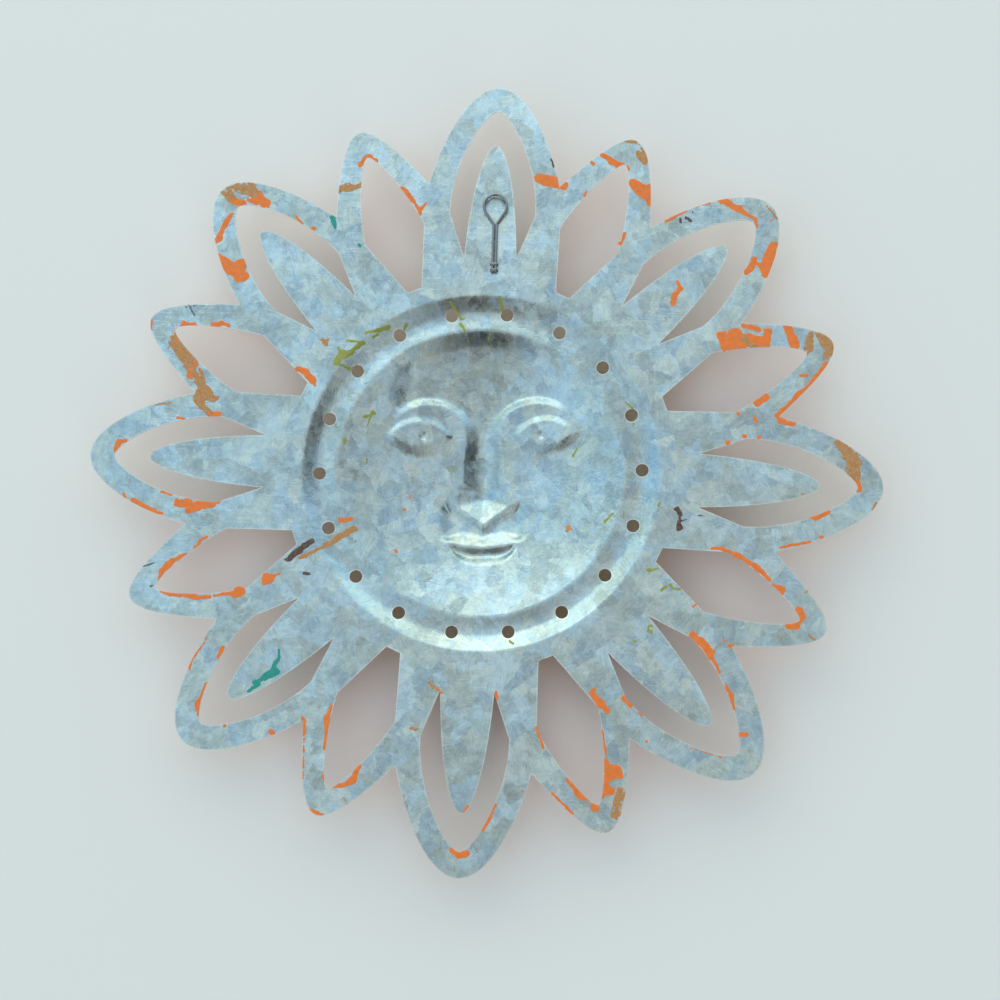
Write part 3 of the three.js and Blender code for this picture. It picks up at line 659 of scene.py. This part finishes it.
# The same round the channel and on the face: from and to as (radius, clock angle)
ringMarks = (
    "green 66,347.5 60,350.5 1.0; 58,350 55,351 0.8; 55,351 50.5,352 0.5; 67,4 62.5,5.5 1.0; "
    "54,1.5 51,0.5 0.5; 69,318 66,325 1.2; 64,331 61,327 0.8; 71,312 67,315 1.1; 68,305 63,306.5 0.9; "
    "72,309 68,308 1.1; 62,286.5 57,284.5 0.7; 49.5,293.5 47,296.5 1.0; 47.5,290 47.5,294.5 0.6; "
    "63,65 61.5,62 0.7; 61,70 60,71 1.0; 53,105 51,109 0.8; 38,73.5 36,77 0.6; 76,116 73.5,118 1.0; "
    "66,166 64.5,167 0.6; 57,105.5 56.5,103 0.5; orange 56,248 52.5,247 0.8; 44,223.5 44,224.5 0.4; "
    "32.5,242 32.5,243 0.4; ochre 39.5,118 40,121 0.5; orange 38.5,119.5 41,119 0.3; 29,249 28.5,251 0.4; "
    "green 87,129 86,130 1; 82,119 81,120.5 0.8; 70,304 69.5,306.5 1; 66,319 66,321 0.8; "
    "59.5,346 60,348.5 0.7; 61,6 61,9 0.7; 60,306 60,308.5 0.8; 61,66 61,68 0.7; 53,279 53,281 0.8; "
    "44,272 44,274 0.6; 48,296 48,297.5 0.6; ochre 75.5,241 64,242 0.8; 64,242 52,242.5 0.9"
)


def patchy(x, z, size, seed):
    # smooth noise from -1 to 1: random values on a lattice of the given size, blended between its corners
    lattice = np.random.default_rng(seed).uniform(-1, 1, (256, 256))
    u, v = x / size + 4096, z / size + 4096
    i, j = np.floor(u).astype(int), np.floor(v).astype(int)
    s, t = ramp(u - i), ramp(v - j)
    near = blend(lattice[i % 256, j % 256], lattice[(i + 1) % 256, j % 256], s)
    far = blend(lattice[i % 256, (j + 1) % 256], lattice[(i + 1) % 256, (j + 1) % 256], s)
    return blend(near, far, t)


def readMarks(text):
    # each mark's colour, its two ends and half its width at them
    name = ""
    for words in (mark.split() for mark in text.split(";")):
        if words[0].isalpha():
            name = words.pop(0)
        ends = np.array([words[0].split(","), words[1].split(",")], float)
        yield name, ends, np.array([words[2], words[-1]], float)


def allMarks():
    # the same with the ends at their place on the sheet, mirrored because the back is read from behind
    for petal, text in petalMarks.items():
        for name, ends, widths in readMarks(text):
            yield name, turned(ends, 180 / petals["pairs"] * petal) * [-1, 1], widths
    for name, ends, widths in readMarks(ringMarks):
        yield name, onCircle(ends[:, 0], ends[:, 1]) * [-1, 1], widths


def sheetSide(x, z, p=petals):
    # distance to the nearest cut edge of a petal, less than nothing on the metal: the place is folded into
    # half a sector, where a count of the edges crossed on the way out tells metal from open space
    cuts = sectorPatches()[1]
    sector = 2 * np.pi / p["pairs"]
    radius, angle = np.hypot(x, z), np.arctan2(x, z)
    angle = np.abs((angle + sector / 2) % sector - sector / 2)
    place = np.stack([radius * np.sin(angle), radius * np.cos(angle)], -1)
    gap = np.min([distanceTo(place, cut) for cut in cuts], 0)
    tongue, slot, wide, slotSide, openingSide, openingEnd, opening, narrow = cuts
    base = [[-60, 0], [60, 0]]  # closes a petal's outline inside the channel
    loops = [np.concatenate([wide, wide[::-1] * [-1, 1], base]),
             np.concatenate([slotSide, slot, (slot * [-1, 1])[::-1], (slotSide * [-1, 1])[::-1],
                             tongue * [-1, 1], tongue[::-1]])]
    turnBack = 180 / p["pairs"]
    for side, closing in (((narrow,), [base]), ((openingSide, opening), [])):
        edge = turned(np.concatenate(side), -turnBack)
        loops.append(np.concatenate([edge, (edge * [-1, 1])[::-1], *closing]))

    def within(loop, point):
        # true where a line to the right of the point crosses the loop an odd number of times
        a, b = loop[None], np.roll(loop, -1, 0)[None]
        u, v = point[:, None, 0], point[:, None, 1]
        crossed = (a[..., 1] > v) != (b[..., 1] > v)
        run = np.where(crossed, (v - a[..., 1]) / np.where(crossed, b[..., 1] - a[..., 1], 1), 0)
        return (crossed & (u < a[..., 0] + run * (b[..., 0] - a[..., 0]))).sum(1) % 2 == 1

    back = turned(place, -turnBack)
    metal = within(loops[0], place) & ~within(loops[1], place)
    metal |= within(loops[2], back) & ~within(loops[3], back)
    return np.where(metal, -gap, gap)


zinc = {
    "dark": (0.30, 0.39, 0.43), "middle": (0.415, 0.535, 0.57), "light": (0.56, 0.69, 0.705),
    "bluish": (0.92, 0.985, 1.06, 1), "greyish": (1.05, 1.01, 0.94, 1),
    "crystal": 6.0, "flake": 2.6,  # sizes in millimetres
    "base": 0.23, "crystalShare": 0.34, "flakeShare": 0.20,  # what the tone is made of
    "cloudShare": 0.9, "featherShare": 0.7, "mottleShare": 0.75,
    "speck": (0.22, 0.30, 0.34, 1), "speckShare": 0.30, "chip": (0.72, 0.83, 0.86, 1), "chipShare": 0.35,
    "scratch": (0.70, 0.77, 0.78, 1), "scratchShare": 0.22, "scratchTurns": (0.9, -0.7, 0.15),
    # the rim colour is a painted highlight: a pale cream line along every cut edge, where the edge catches the
    # light
    "rim": (0.80, 0.79, 0.71, 1), "rimHighlightShare": 0.55, "rimHighlightWidth": 0.55,
    "metallic": 0.92, "roughness": 0.17, "tilt": 0.085, "bumpShare": 0.30, "bumpHeight": 0.00016,
}


def zincFinish(name, z=zinc):
    # hot-dip zinc: soft crystals with ragged borders, smaller flakes in them, clouds, specks and scratches,
    # and a painted highlight along the cut edges
    m = Finish(name)
    here = m.place()

    def shifted(scale, reach, start=here):
        # the place pushed about by noise, up to half the reach each way
        offset = m.vectors("SUBTRACT", m.noise(here, scale, 4, 0.65, output=1), (0.5, 0.5, 0.5))
        return m.vectors("ADD", start, m.vectors("SCALE", offset, scale=reach))

    def cells(vector, size):
        # three random numbers for each cell
        cell = m.node("ShaderNodeTexVoronoi", {}, {"Vector": vector, "Scale": 1 / size}, "Color")
        return cell, m.parts(cell, "Color")

    def feathers(angle, number, long, fine):
        # streaks along a direction of each crystal's own
        x, _, z = m.parts(here)
        turn = angle * 6.283  # a whole turn
        cosine, sine = turn.maths("COSINE"), turn.maths("SINE")
        place = m.node("ShaderNodeCombineXYZ", {}, {
            0: (x * cosine + z * sine) / long, 1: (z * cosine - x * sine) / fine, 2: number * 40})
        return m.noise(place, 1.0, 3, 0.6)

    ragged = shifted(0.35, 4.5)
    crystal, (tone, turn, warmth) = cells(ragged, z["crystal"])
    flake, (small, turnSmall, shine) = cells(shifted(0.9, 1.8, ragged), z["flake"])
    cloud = m.noise(here, 0.05, 5, 0.6)
    feather = feathers(turn, tone, 4.5, 0.8)
    mottle = m.noise(shifted(0.2, 8.0), 0.45, 5, 0.65)
    value = (tone * z["crystalShare"] + small * z["flakeShare"] + (cloud - 0.5) * z["cloudShare"]
             + (feather - 0.5) * z["featherShare"] + (mottle - 0.5) * z["mottleShare"] + z["base"])
    colour = m.colours(value.held(), [(0.15, z["dark"]), (0.5, z["middle"]), (0.85, z["light"])])
    hue = (warmth * 0.7 + turnSmall * 0.3 + (cloud - 0.5) * 1.4).held()
    tint = m.mix(hue.step(0.2, 0.9), z["greyish"], z["bluish"])
    colour = m.mix(1.0, colour, tint, "MULTIPLY")
    speck = m.noise(here, 1.1, 3, 0.55).step(0.66, 0.74)
    colour = m.mix(speck * z["speckShare"], colour, z["speck"])
    chip = m.noise(shifted(0.5, 2.0), 0.9, 3, 0.5).step(0.655, 0.70)
    colour = m.mix(chip * z["chipShare"], colour, z["chip"])
    rubbed = m.noise(here, 0.03, 2, 0.5).step(0.42, 0.62)
    scratches = [m.noise(m.place((0.045, 1, 1.7), (0, angle, 0)), 1.6, 2, 0.5).step(0.63, 0.70)
                 for angle in z["scratchTurns"]]
    scratch = (scratches[0].most(scratches[1]).most(scratches[2]) * rubbed).held()
    colour = m.mix(scratch * z["scratchShare"], colour, z["scratch"])
    # painted highlight: the colour turns pale cream within about half a millimetre of a cut edge, where the
    # edge catches the light
    edge = 1 - m.attribute("edgeGap").step(0.05, z["rimHighlightWidth"])
    colour = m.mix(edge * z["rimHighlightShare"], colour, z["rim"])
    leaning = m.vectors("SUBTRACT", m.mix(0.45, crystal, flake), (0.5, 0.5, 0.5))
    normal = m.node("ShaderNodeNewGeometry", output="Normal")
    normal = m.vectors("NORMALIZE", m.vectors("ADD", normal, m.vectors("SCALE", leaning, scale=z["tilt"])))
    grain = m.noise(here, 1.4, 3, 0.6)
    m.set(Base_Color=colour, Metallic=z["metallic"],
          Roughness=(z["roughness"] + shine * 0.10 + small * 0.05 + feather * 0.10 - scratch * 0.05).held(),
          Normal=m.bump(grain * 0.6 + feather * 0.8 - scratch * 0.5, z["bumpShare"], z["bumpHeight"], normal))
    return m.owner


frontPaint = {
    "petal": (0.80, 0.15, 0.02, 1), "tip": (0.72, 0.27, 0.035, 1), "tipFrom": 112, "tipTo": 150,
    "tongue": (0.015, 0.30, 0.25, 1), "channel": (0.22, 0.36, 0.04, 1), "face": (0.66, 0.34, 0.05, 1),
    "channelEdge": (68.2, 69.0), "faceEdge": (55.2, 56.2), "waver": 3.0, "stroke": (0.62, 0.60, 0.60, 1),
}


def paintedFinish(name, f=frontPaint):
    # the hidden side, brushed by hand: orange petals with golden tips, teal tongues, a green channel and a
    # golden face
    m = Finish(name)
    here = m.place()
    across, _, up = m.parts(m.vectors("SUBTRACT", here, tuple(sunCentre)))
    waver = m.noise(here, 0.25, 3, 0.6) - 0.5
    radius = (across * across + up * up) ** 0.5 + waver * f["waver"]
    brush = m.noise(m.place((0.22, 1, 1), (0, 0.6, 0)), 0.7, 4, 0.6)
    colour = m.mix(radius.step(f["tipFrom"], f["tipTo"]), f["petal"], f["tip"])
    colour = m.mix((m.attribute("tongue") + waver * 0.6).step(0.45, 0.55), colour, f["tongue"])
    colour = m.mix(1 - radius.step(*f["channelEdge"]), colour, f["channel"])
    colour = m.mix(1 - radius.step(*f["faceEdge"]), colour, f["face"])
    colour = m.mix(brush.step(0.35, 0.7) * 0.45, colour, m.mix(1.0, colour, f["stroke"], "MULTIPLY"))
    m.set(Base_Color=colour, Roughness=0.40 + brush * 0.15, Normal=m.bump(brush, 0.4, 0.0003))
    return m.owner


def overspillFinish(o=overspill):
    # enamel that ran thin over the edge: darker where it is thick, rubbed through to the zinc in places
    m = Finish("paint overspill")
    here = m.place()
    paint = m.node("ShaderNodeAttribute", {"attribute_name": "paintColour"}, output="Color")
    pool = m.noise(here, 0.55, 3, 0.6)
    fine = m.noise(here, 2.2, 2, 0.6)
    colour = m.mix(pool.step(0.35, 0.7) * 0.45, paint, m.mix(1.0, paint, o["pooled"], "MULTIPLY"))
    worn = fine.step(0.58, 0.75) * 0.35 + m.attribute("dryness") * fine.step(0.45, 0.65) * 0.5
    colour = m.mix(worn, colour, o["bare"])
    m.set(Base_Color=colour, Roughness=0.42 + fine * 0.2, Normal=m.bump(pool + fine * 0.4, 0.4, 0.0001))
    return m.owner


def steelFinish(name, colour, roughness, metal=1.0):
    # a grain drawn out along the upright, up to a quarter darker
    m = Finish(name)
    grain = m.noise(m.place((1, 1, 0.15)), 3.0, 3, 0.6)
    m.set(Base_Color=m.mix(grain, tuple(0.75 * c for c in colour) + (1,), colour + (1,)), Metallic=metal,
          Roughness=roughness + grain * 0.12, Normal=m.bump(grain, 0.3, 0.00005))
    return m.owner


zincBack = zincFinish("spangled zinc")
paintFront = paintedFinish("painted front")
cutEdge = steelFinish("cut edge", (0.82, 0.80, 0.73), 0.38, 0.5)


def makeSheet(s=pressing):
    # the back surface and its copy one thickness further forward, with walls between them at every cut edge
    petalPoints, petalQuads, petalGaps, petalTongues = petalGrid()
    facePoints, faceQuads, faceTriangles, faceGaps = faceGrid()
    flat = np.concatenate([petalPoints, facePoints])
    quads = np.concatenate([petalQuads, faceQuads + len(petalPoints)])
    triangles = faceTriangles + len(petalPoints)
    gaps = np.concatenate([petalGaps, faceGaps])
    tongues = np.concatenate([petalTongues, np.zeros(len(facePoints))])
    flat, quads, triangles, gaps, tongues = merged(flat, quads, triangles, gaps, tongues)
    count = len(flat)
    depth = sheetDepth(flat[:, 0], flat[:, 1])
    back = np.stack([flat[:, 0], -depth, flat[:, 1]], -1) + sunCentre
    points = np.concatenate([back, back - [0, s["thickness"], 0]])
    rim = openEdges(quads, triangles)
    walls = np.stack([rim[:, 1], rim[:, 0], rim[:, 0] + count, rim[:, 1] + count], -1)
    quads = np.concatenate([quads, quads[:, ::-1] + count, walls])
    triangles = np.concatenate([triangles, triangles[:, ::-1] + count])
    half = (len(quads) - len(walls)) // 2
    slots = np.repeat([0, 1, 2, 0, 1], [half, half, len(walls), len(triangles) // 2, len(triangles) // 2])
    print("sheet:", len(points), "points,", 2 * len(quads) + len(triangles), "triangles,", len(rim),
          "open edges")
    return buildMesh("sunSheet", points / 1000, quads, triangles,
                     {"edgeGap": np.tile(gaps, 2), "tongue": np.tile(tongues, 2)},
                     (zincBack, paintFront, cutEdge), slots, np.concatenate([rim, rim + count]))


sunSheet = makeSheet()
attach(sunSheet, "root")
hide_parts("sun_plate")


def overspillField(x, z, o=overspill):
    # distance to the marks of each colour on every point of the grid: strokes of one colour flow together,
    # their edges are ragged, and dry ones break up into streaks along the stroke
    names = ["orange", "ochre", "brown", "green", "teal", "slate"]
    wet = np.zeros((len(names), *x.shape))
    low, cell, flow = x[0, 0], o["cell"], o["flow"]
    wander = [patchy(x, z, o["wanderSize"], seed) for seed in (3, 4)]
    for index, (name, (a, b), widths) in enumerate(allMarks()):
        reach = widths.max() + o["margin"]
        first = ((np.minimum(a, b) - reach - low) / cell).astype(int)
        last = ((np.maximum(a, b) + reach - low) / cell).astype(int) + 1
        window = (slice(first[1], last[1]), slice(first[0], last[0]))
        length = max(np.hypot(*(b - a)), 1e-3)
        way = (b - a) / length
        strength = o["wander"] * min(1, widths.max())
        u, v = (place[window] + strength * stray[window] - start
                for place, stray, start in zip((x, z), wander, a))
        along, off = u * way[0] + v * way[1], v * way[0] - u * way[1]
        share = np.clip(along / length, 0, 1)
        width = blend(widths[0], widths[1], share) * o["spread"].get(name, 1.0)
        gap = np.hypot(along - share * length, off) - width
        streakLength, streakWidth = o["streak"]
        bare = patchy(along / streakLength + index, off / streakWidth + 9 * index, 1, 8)
        bare = bare + 0.5 * patchy(x[window], z[window], 0.8, 9)
        gap = gap + o["streaky"].get(name, 0.0) * np.maximum(0, bare - 0.1) * (0.6 + width)
        wet[names.index(name)][window] += np.exp(-gap / flow)
    gaps = -flow * np.log(np.maximum(wet, 1e-9))
    hue = np.argmin(gaps, 0)
    rough = o["ragged"] * (patchy(x, z, 1.1, 5) + 0.6 * patchy(x, z, 0.5, 6))
    return np.min(gaps, 0) + rough, hue, names


def makeOverspill(o=overspill, s=pressing):
    # cells of a fine square grid that lie inside the marks; the outer corners move onto the marks' outline,
    # and the film swells a little from its edge
    line = np.arange(-o["reach"], o["reach"], o["cell"])
    x, z = np.meshgrid(line, line)
    field, hue, names = overspillField(x, z)
    near = np.argwhere(field < 1)
    u, v = x[tuple(near.T)], z[tuple(near.T)]
    outside = np.concatenate([sheetSide(u[i:i + 4000], v[i:i + 4000]) for i in range(0, len(u), 4000)])
    holeAngle = np.radians(-s["faceTurn"] + (np.arange(s["holeCount"]) + 0.5) * 360 / s["holeCount"])
    holes = s["holeRing"] * np.stack([np.sin(-holeAngle), np.cos(holeAngle)], -1)
    toHole = s["holeRadius"] - np.hypot(u[:, None] - holes[:, 0], v[:, None] - holes[:, 1]).min(1)
    outside = np.where(np.hypot(u, v) < s["channelRadius"], toHole, outside)
    field[tuple(near.T)] = np.maximum(field[tuple(near.T)], outside + o["edgeInset"])
    kept = (field[:-1, :-1] + field[1:, :-1] + field[:-1, 1:] + field[1:, 1:]) < 0
    slopeZ, slopeX = np.gradient(field, o["cell"])
    count = sum(np.pad(kept, ((a, 1 - a), (b, 1 - b))).astype(int) for a in (0, 1) for b in (0, 1))
    edge = (count > 0) & (count < 4)
    steep = np.maximum(slopeX ** 2 + slopeZ ** 2, 0.3)
    pull = np.where(edge, np.clip(field, -0.8 * o["cell"], 0.8 * o["cell"]) / steep, 0)
    limit = 0.75 * o["cell"]
    x, z = x - np.clip(pull * slopeX, -limit, limit), z - np.clip(pull * slopeZ, -limit, limit)
    swell = np.where(edge, 0, ramp(-field / o["swellWidth"]))
    number = np.full(field.shape, -1)
    used = count > 0
    number[used] = np.arange(used.sum())
    x, z, swell, hue = x[used], z[used], swell[used], hue[used]
    depth = sheetDepth(x, z) - o["lift"] - o["film"] * swell
    points = np.stack([x, -depth, z], -1) + sunCentre
    quads = np.stack([number[:-1, :-1], number[1:, :-1], number[1:, 1:], number[:-1, 1:]], -1)[kept]
    print("overspill:", len(points), "points,", 2 * len(quads), "triangles")
    film = buildMesh("paintOverspill", points / 1000, quads, materials=(overspillFinish(),))
    shades = np.array([o[name] for name in names])[hue]
    streaky = np.array([o["streaky"].get(name, 0.0) for name in names])[hue]
    values = np.concatenate([shades, np.ones((len(shades), 1))], 1)
    film.data.attributes.new("paintColour", "FLOAT_COLOR", "POINT").data.foreach_set("color", values.ravel())
    film.data.attributes.new("dryness", "FLOAT", "POINT").data.foreach_set("value", streaky)
    return film


paintFilm = makeOverspill()
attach(paintFilm, "root")

# the wire's colour is darker than bare steel: painted shade standing in for the dim room that the eye mirrors
wireSteel = steelFinish("wire steel", (0.30, 0.31, 0.32), 0.20)
weldSteel = steelFinish("weld steel", (0.26, 0.28, 0.29), 0.30)

hanger = {
    "wireRadius": 0.5, "strandOffset": 0.6, "eyeRadius": 4.4, "eyeLift": 1.2, "seatGap": 0.3,
    "shankTopDrop": 6.5, "shankLength": 19.4, "bend": 1.0, "lean": 1.4,
    "sides": 24, "steps": 320,
    "endStart": 0.12, "endLength": 0.35,  # how the cut ends round off
    "weldHalfWidth": 1.7, "weldHalfLength": 1.05, "weldHeight": 1.6, "weldSpacing": 2.3, "weldGap": 0.12,
    "weldGrid": (40, 64), "weldLump": 0.05, "saddleDepth": 0.16, "saddleWidth": 0.35,
}


def leaned(points, h=hanger):
    # the points turned clockwise by the lean, as seen from the front
    a = np.radians(h["lean"])
    x, y, z = np.moveaxis(np.asarray(points, float), -1, 0)
    return np.stack([x * np.cos(a) + z * np.sin(a), y, z * np.cos(a) - x * np.sin(a)], -1)


def wirePath(h=hanger):
    # half of the eye: a straight strand, a short bend, a flank and an arc, then its mirror image
    spread = np.arccos(h["eyeRadius"] / h["shankTopDrop"])
    flank = np.pi / 2 - spread
    foot = np.array([h["strandOffset"], -h["shankTopDrop"] - h["bend"] / 2])
    knee = np.array([h["strandOffset"], -h["shankTopDrop"] + h["bend"] / 4])
    bendTop = np.array([h["strandOffset"], -h["shankTopDrop"]])
    bendTop = bendTop + h["bend"] * np.array([np.sin(flank), np.cos(flank)])
    t = np.linspace(0, 1, 12)[:, None]
    bend = (1 - t) ** 2 * foot + 2 * t * (1 - t) * knee + t ** 2 * bendTop
    arc = np.linspace(spread - np.pi / 2, np.pi / 2, 60)
    ring = h["eyeRadius"] * np.stack([np.cos(arc), np.sin(arc)], -1)
    end = [[h["strandOffset"], -h["shankTopDrop"] - h["shankLength"]]]
    half = np.concatenate([end, bend, ring])
    line = np.concatenate([half, half[-2::-1] * [-1, 1]])
    length = np.concatenate([[0], np.cumsum(np.hypot(*np.diff(line, axis=0).T))])
    even = np.linspace(0, length[-1], h["steps"])
    x, z = np.interp(even, length, line[:, 0]), np.interp(even, length, line[:, 1])
    return np.stack([x, -h["eyeLift"] * ramp(-z / h["shankTopDrop"]), z], -1)


def makeWire(h=hanger):
    # a tube: rings of points square to the path, joined by faces, with a point at each end
    path = wirePath()
    tangent = np.gradient(path, axis=0)
    tangent /= np.linalg.norm(tangent, axis=1)[:, None]
    side = np.cross(tangent, [0, 1, 0])
    side /= np.linalg.norm(side, axis=1)[:, None]
    away = np.cross(side, tangent)
    angle = np.linspace(0, 2 * np.pi, h["sides"], endpoint=False)
    # the radius follows a quarter circle at the ends
    fromEnd = np.minimum(np.arange(len(path)), np.arange(len(path))[::-1])
    length = np.linalg.norm(np.diff(path, axis=0), axis=1).mean()
    short = np.maximum(0, 1 - (fromEnd * length + h["endStart"]) / h["endLength"])
    radius = h["wireRadius"] * np.sqrt(1 - short ** 2)
    across = np.cos(angle)[None, :, None] * side[:, None] + np.sin(angle)[None, :, None] * away[:, None]
    tube = path[:, None] + radius[:, None, None] * across
    i, j, quads = ringFaces(len(path), h["sides"])
    points = np.concatenate([tube.reshape(-1, 3), path[[0, -1]]])
    ends = [np.stack([j[0], i[0], np.full(h["sides"], len(points) - 2)], -1),
            np.stack([i[-1], j[-1], np.full(h["sides"], len(points) - 1)], -1)]
    return buildMesh("hangingEye", leaned(points) / 1000, quads.reshape(-1, 4), np.concatenate(ends),
                     materials=(wireSteel,))


def makeWeld(name, up, seed, h=hanger):
    # a flattened bead over both strands, drawn in where it meets them and lumpy like a melted spot
    rows, columns = h["weldGrid"]
    rise, turn = np.meshgrid(np.linspace(0, np.pi / 2, rows),
                             np.linspace(0, 2 * np.pi, columns, endpoint=False), indexing="ij")
    lump = 1 - h["weldLump"] * (1 + np.sin(3 * turn + seed) * np.sin(2 * rise))
    x = h["weldHalfWidth"] * np.cos(rise) ** 0.7 * np.cos(turn) * lump
    z = h["weldHalfLength"] * np.cos(rise) ** 0.7 * np.sin(turn) * lump
    saddle = h["saddleDepth"] * np.exp(-(x / h["saddleWidth"]) ** 2)
    height = (h["weldHeight"] - saddle) * np.sin(rise) ** 0.8 * lump
    seat = h["weldGap"] - (h["eyeLift"] + h["wireRadius"] + h["seatGap"])
    points = np.stack([x, seat + height, z + up], -1)
    i, j, quads = ringFaces(rows, columns, flipped=True)
    points = np.concatenate([points.reshape(-1, 3), [[0, seat, up]]])
    bottom = np.stack([i[0], j[0], np.full(columns, rows * columns)], -1)
    return buildMesh(name, leaned(points) / 1000, quads.reshape(-1, 4), bottom, materials=(weldSteel,))


lowerUp = -hanger["shankTopDrop"] - hanger["shankLength"] + hanger["weldHalfLength"]
hangerPieces = (
    (makeWire(), "hanger_wire", "wire_steel"),
    (makeWeld("upperWeldBead", lowerUp + hanger["weldSpacing"], 0.5), "upper_weld", "weld_steel"),
    (makeWeld("lowerWeldBead", lowerUp, 2.0), "lower_weld", "weld_steel"),
)
for piece, node, slot in hangerPieces:
    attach(piece, "root")
    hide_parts(node)
print("hanging eye and welds made")

# Camera, light and surroundings
view = {
    "place": (-34.25, 433.0, -50.96),  # from the centre of the sun, on the back's side
    "look": (0.0591, -0.9940, 0.0924),
    "up": (0.0455, 0.0952, 0.9944),
    "lens": 41.75,
    "sensor": 36.0,
}


def makeCamera(v=view):
    data = bpy.data.cameras.new("view")
    data.lens, data.sensor_width, data.clip_start = v["lens"], v["sensor"], 0.01
    camera = bpy.data.objects.new("view", data)
    bpy.context.scene.collection.objects.link(camera)
    back = -Vector(v["look"]).normalized()
    side = Vector(v["up"]).cross(back).normalized()
    up = back.cross(side)
    place = (np.array(v["place"]) + sunCentre) / 1000
    rows = [(side[i], up[i], back[i], place[i]) for i in range(3)]
    camera.matrix_world = Matrix(rows + [(0, 0, 0, 1)])
    bpy.context.scene.camera = camera


def areaLight(name, place, target, size, watts, colour=(1, 1, 1)):
    data = bpy.data.lights.new(name, "AREA")
    data.size, data.energy, data.color = size, watts, colour
    lamp = bpy.data.objects.new(name, data)
    bpy.context.scene.collection.objects.link(lamp)
    lamp.location = place
    lamp.rotation_euler = (Vector(target) - Vector(place)).to_track_quat("-Z", "Y").to_euler()


surroundings = {
    # the room's tone at each height, from straight below to overhead
    "sky": ((-0.36, (0.025, 0.01, 0.0)), (-0.20, (0.13, 0.085, 0.05)), (-0.07, (0.33, 0.28, 0.24)),
            (0.08, (0.58, 0.59, 0.58)), (0.20, (0.72, 0.735, 0.725)), (0.45, (0.84, 0.885, 0.91)),
            (0.66, (0.73, 0.88, 0.97)), (0.78, (0.65, 0.81, 0.88)), (0.93, (1.36, 1.38, 1.14))),
    "upShare": 0.8, "acrossShare": 0.5, "depthShare": 0.2, "raised": 0.1,  # what the height is made of
    "skew": (0.32, 1.7),  # how it bends on the right: near the level, and less above and below
    "besideLow": 8.5,  # how much lighter the room is low down, a little to the sides of straight below
    "left": (0.88, 1.0, 1.12, 1), "leftFull": 0.8, "rightHigh": (0.82, 1.0, 1.20, 1), "rightHighGain": -2.5,
    "glossyShare": 0.06,  # how much of the pale surroundings the metal mirrors
    "board": (0.86, 0.86, 0.84), "boardHalf": 1800.0, "boardGap": 0.6,
}


def makeWorld(w=surroundings):
    # a room that is light overhead, dim and warm straight below, and a little lighter and bluer on the left
    room = Finish("room", "worlds")
    bpy.context.scene.world = room.owner
    room.tree.nodes.clear()
    x, y, z = room.parts(room.node("ShaderNodeTexCoord", output="Generated"))
    sides = x * x * (0.5 - x * x).most(0) * (z * -1).step(-0.15, 0.15)
    skew = x.least(0) * (w["skew"][0] - z.maths("ABSOLUTE") * w["skew"][1])
    height = (z * w["upShare"] + x * w["acrossShare"] + skew + y.maths("ABSOLUTE") * w["depthShare"]
              + w["raised"] + sides * w["besideLow"])
    lowest, highest = w["sky"][0][0], w["sky"][-1][0]
    span = highest - lowest
    light = room.colours(((height - lowest) / span).held(), [((h - lowest) / span, c) for h, c in w["sky"]])
    light = room.mix(x.step(0.0, w["leftFull"]), light, room.mix(1.0, light, w["left"], "MULTIPLY"))
    high = (x.least(0) * z.most(0) * w["rightHighGain"]).held()
    light = room.mix(high, light, room.mix(1.0, light, w["rightHigh"], "MULTIPLY"))
    camera, glossy, through = room.rays("Is Camera Ray", "Is Glossy Ray", "Is Transmission Ray")
    shown = camera.most(through).most(glossy * w["glossyShare"])
    colour = room.mix(shown, light, (*w["board"], 1))
    background = room.node("ShaderNodeBackground", {}, {0: colour})
    output = room.tree.nodes.new("ShaderNodeOutputWorld")
    room.tree.links.new(background.out, output.inputs[0])


def makeBoard(w=surroundings):
    # the pale surface under the sun, seen from its upper side by the camera, in reflections, through glass and
    # after a first bounce
    m = Finish("pale board")
    m.set(Base_Color=(*w["board"], 1), Roughness=0.95)
    kinds = "Is Camera Ray", "Is Glossy Ray", "Is Transmission Ray", "Ray Depth"
    camera, glossy, through, depth = m.rays(*kinds)
    seen = camera.most(glossy).most(through).most(depth.maths("GREATER_THAN", 1.5))
    shown = seen * (1 - m.node("ShaderNodeNewGeometry", output="Backfacing"))
    clear = m.node("ShaderNodeBsdfTransparent")
    mixed = m.node("ShaderNodeMixShader", {}, {0: shown, 1: clear, 2: Socket(m, m.shader.outputs[0])})
    m.tree.links.new(mixed.out, m.tree.nodes["Material Output"].inputs[0])
    half, low = w["boardHalf"], cadBox[0][1] * 1000 - w["boardGap"]
    corners = [(half, low, -half), (half, low, half), (-half, low, half), (-half, low, -half)]
    points = np.array(corners) + sunCentre * [1, 0, 1]
    board = buildMesh("paleBoard", points / 1000, [[3, 2, 1, 0]], materials=(m.owner,))


makeCamera()
makeWorld()
makeBoard()
areaLight("window", (0.5, 1.1, 1.5), (0, 0, -0.1), 1.8, 6, (0.97, 1.0, 1.0))
bpy.context.scene.view_settings.view_transform = "Standard"
print("camera, light and surroundings made")
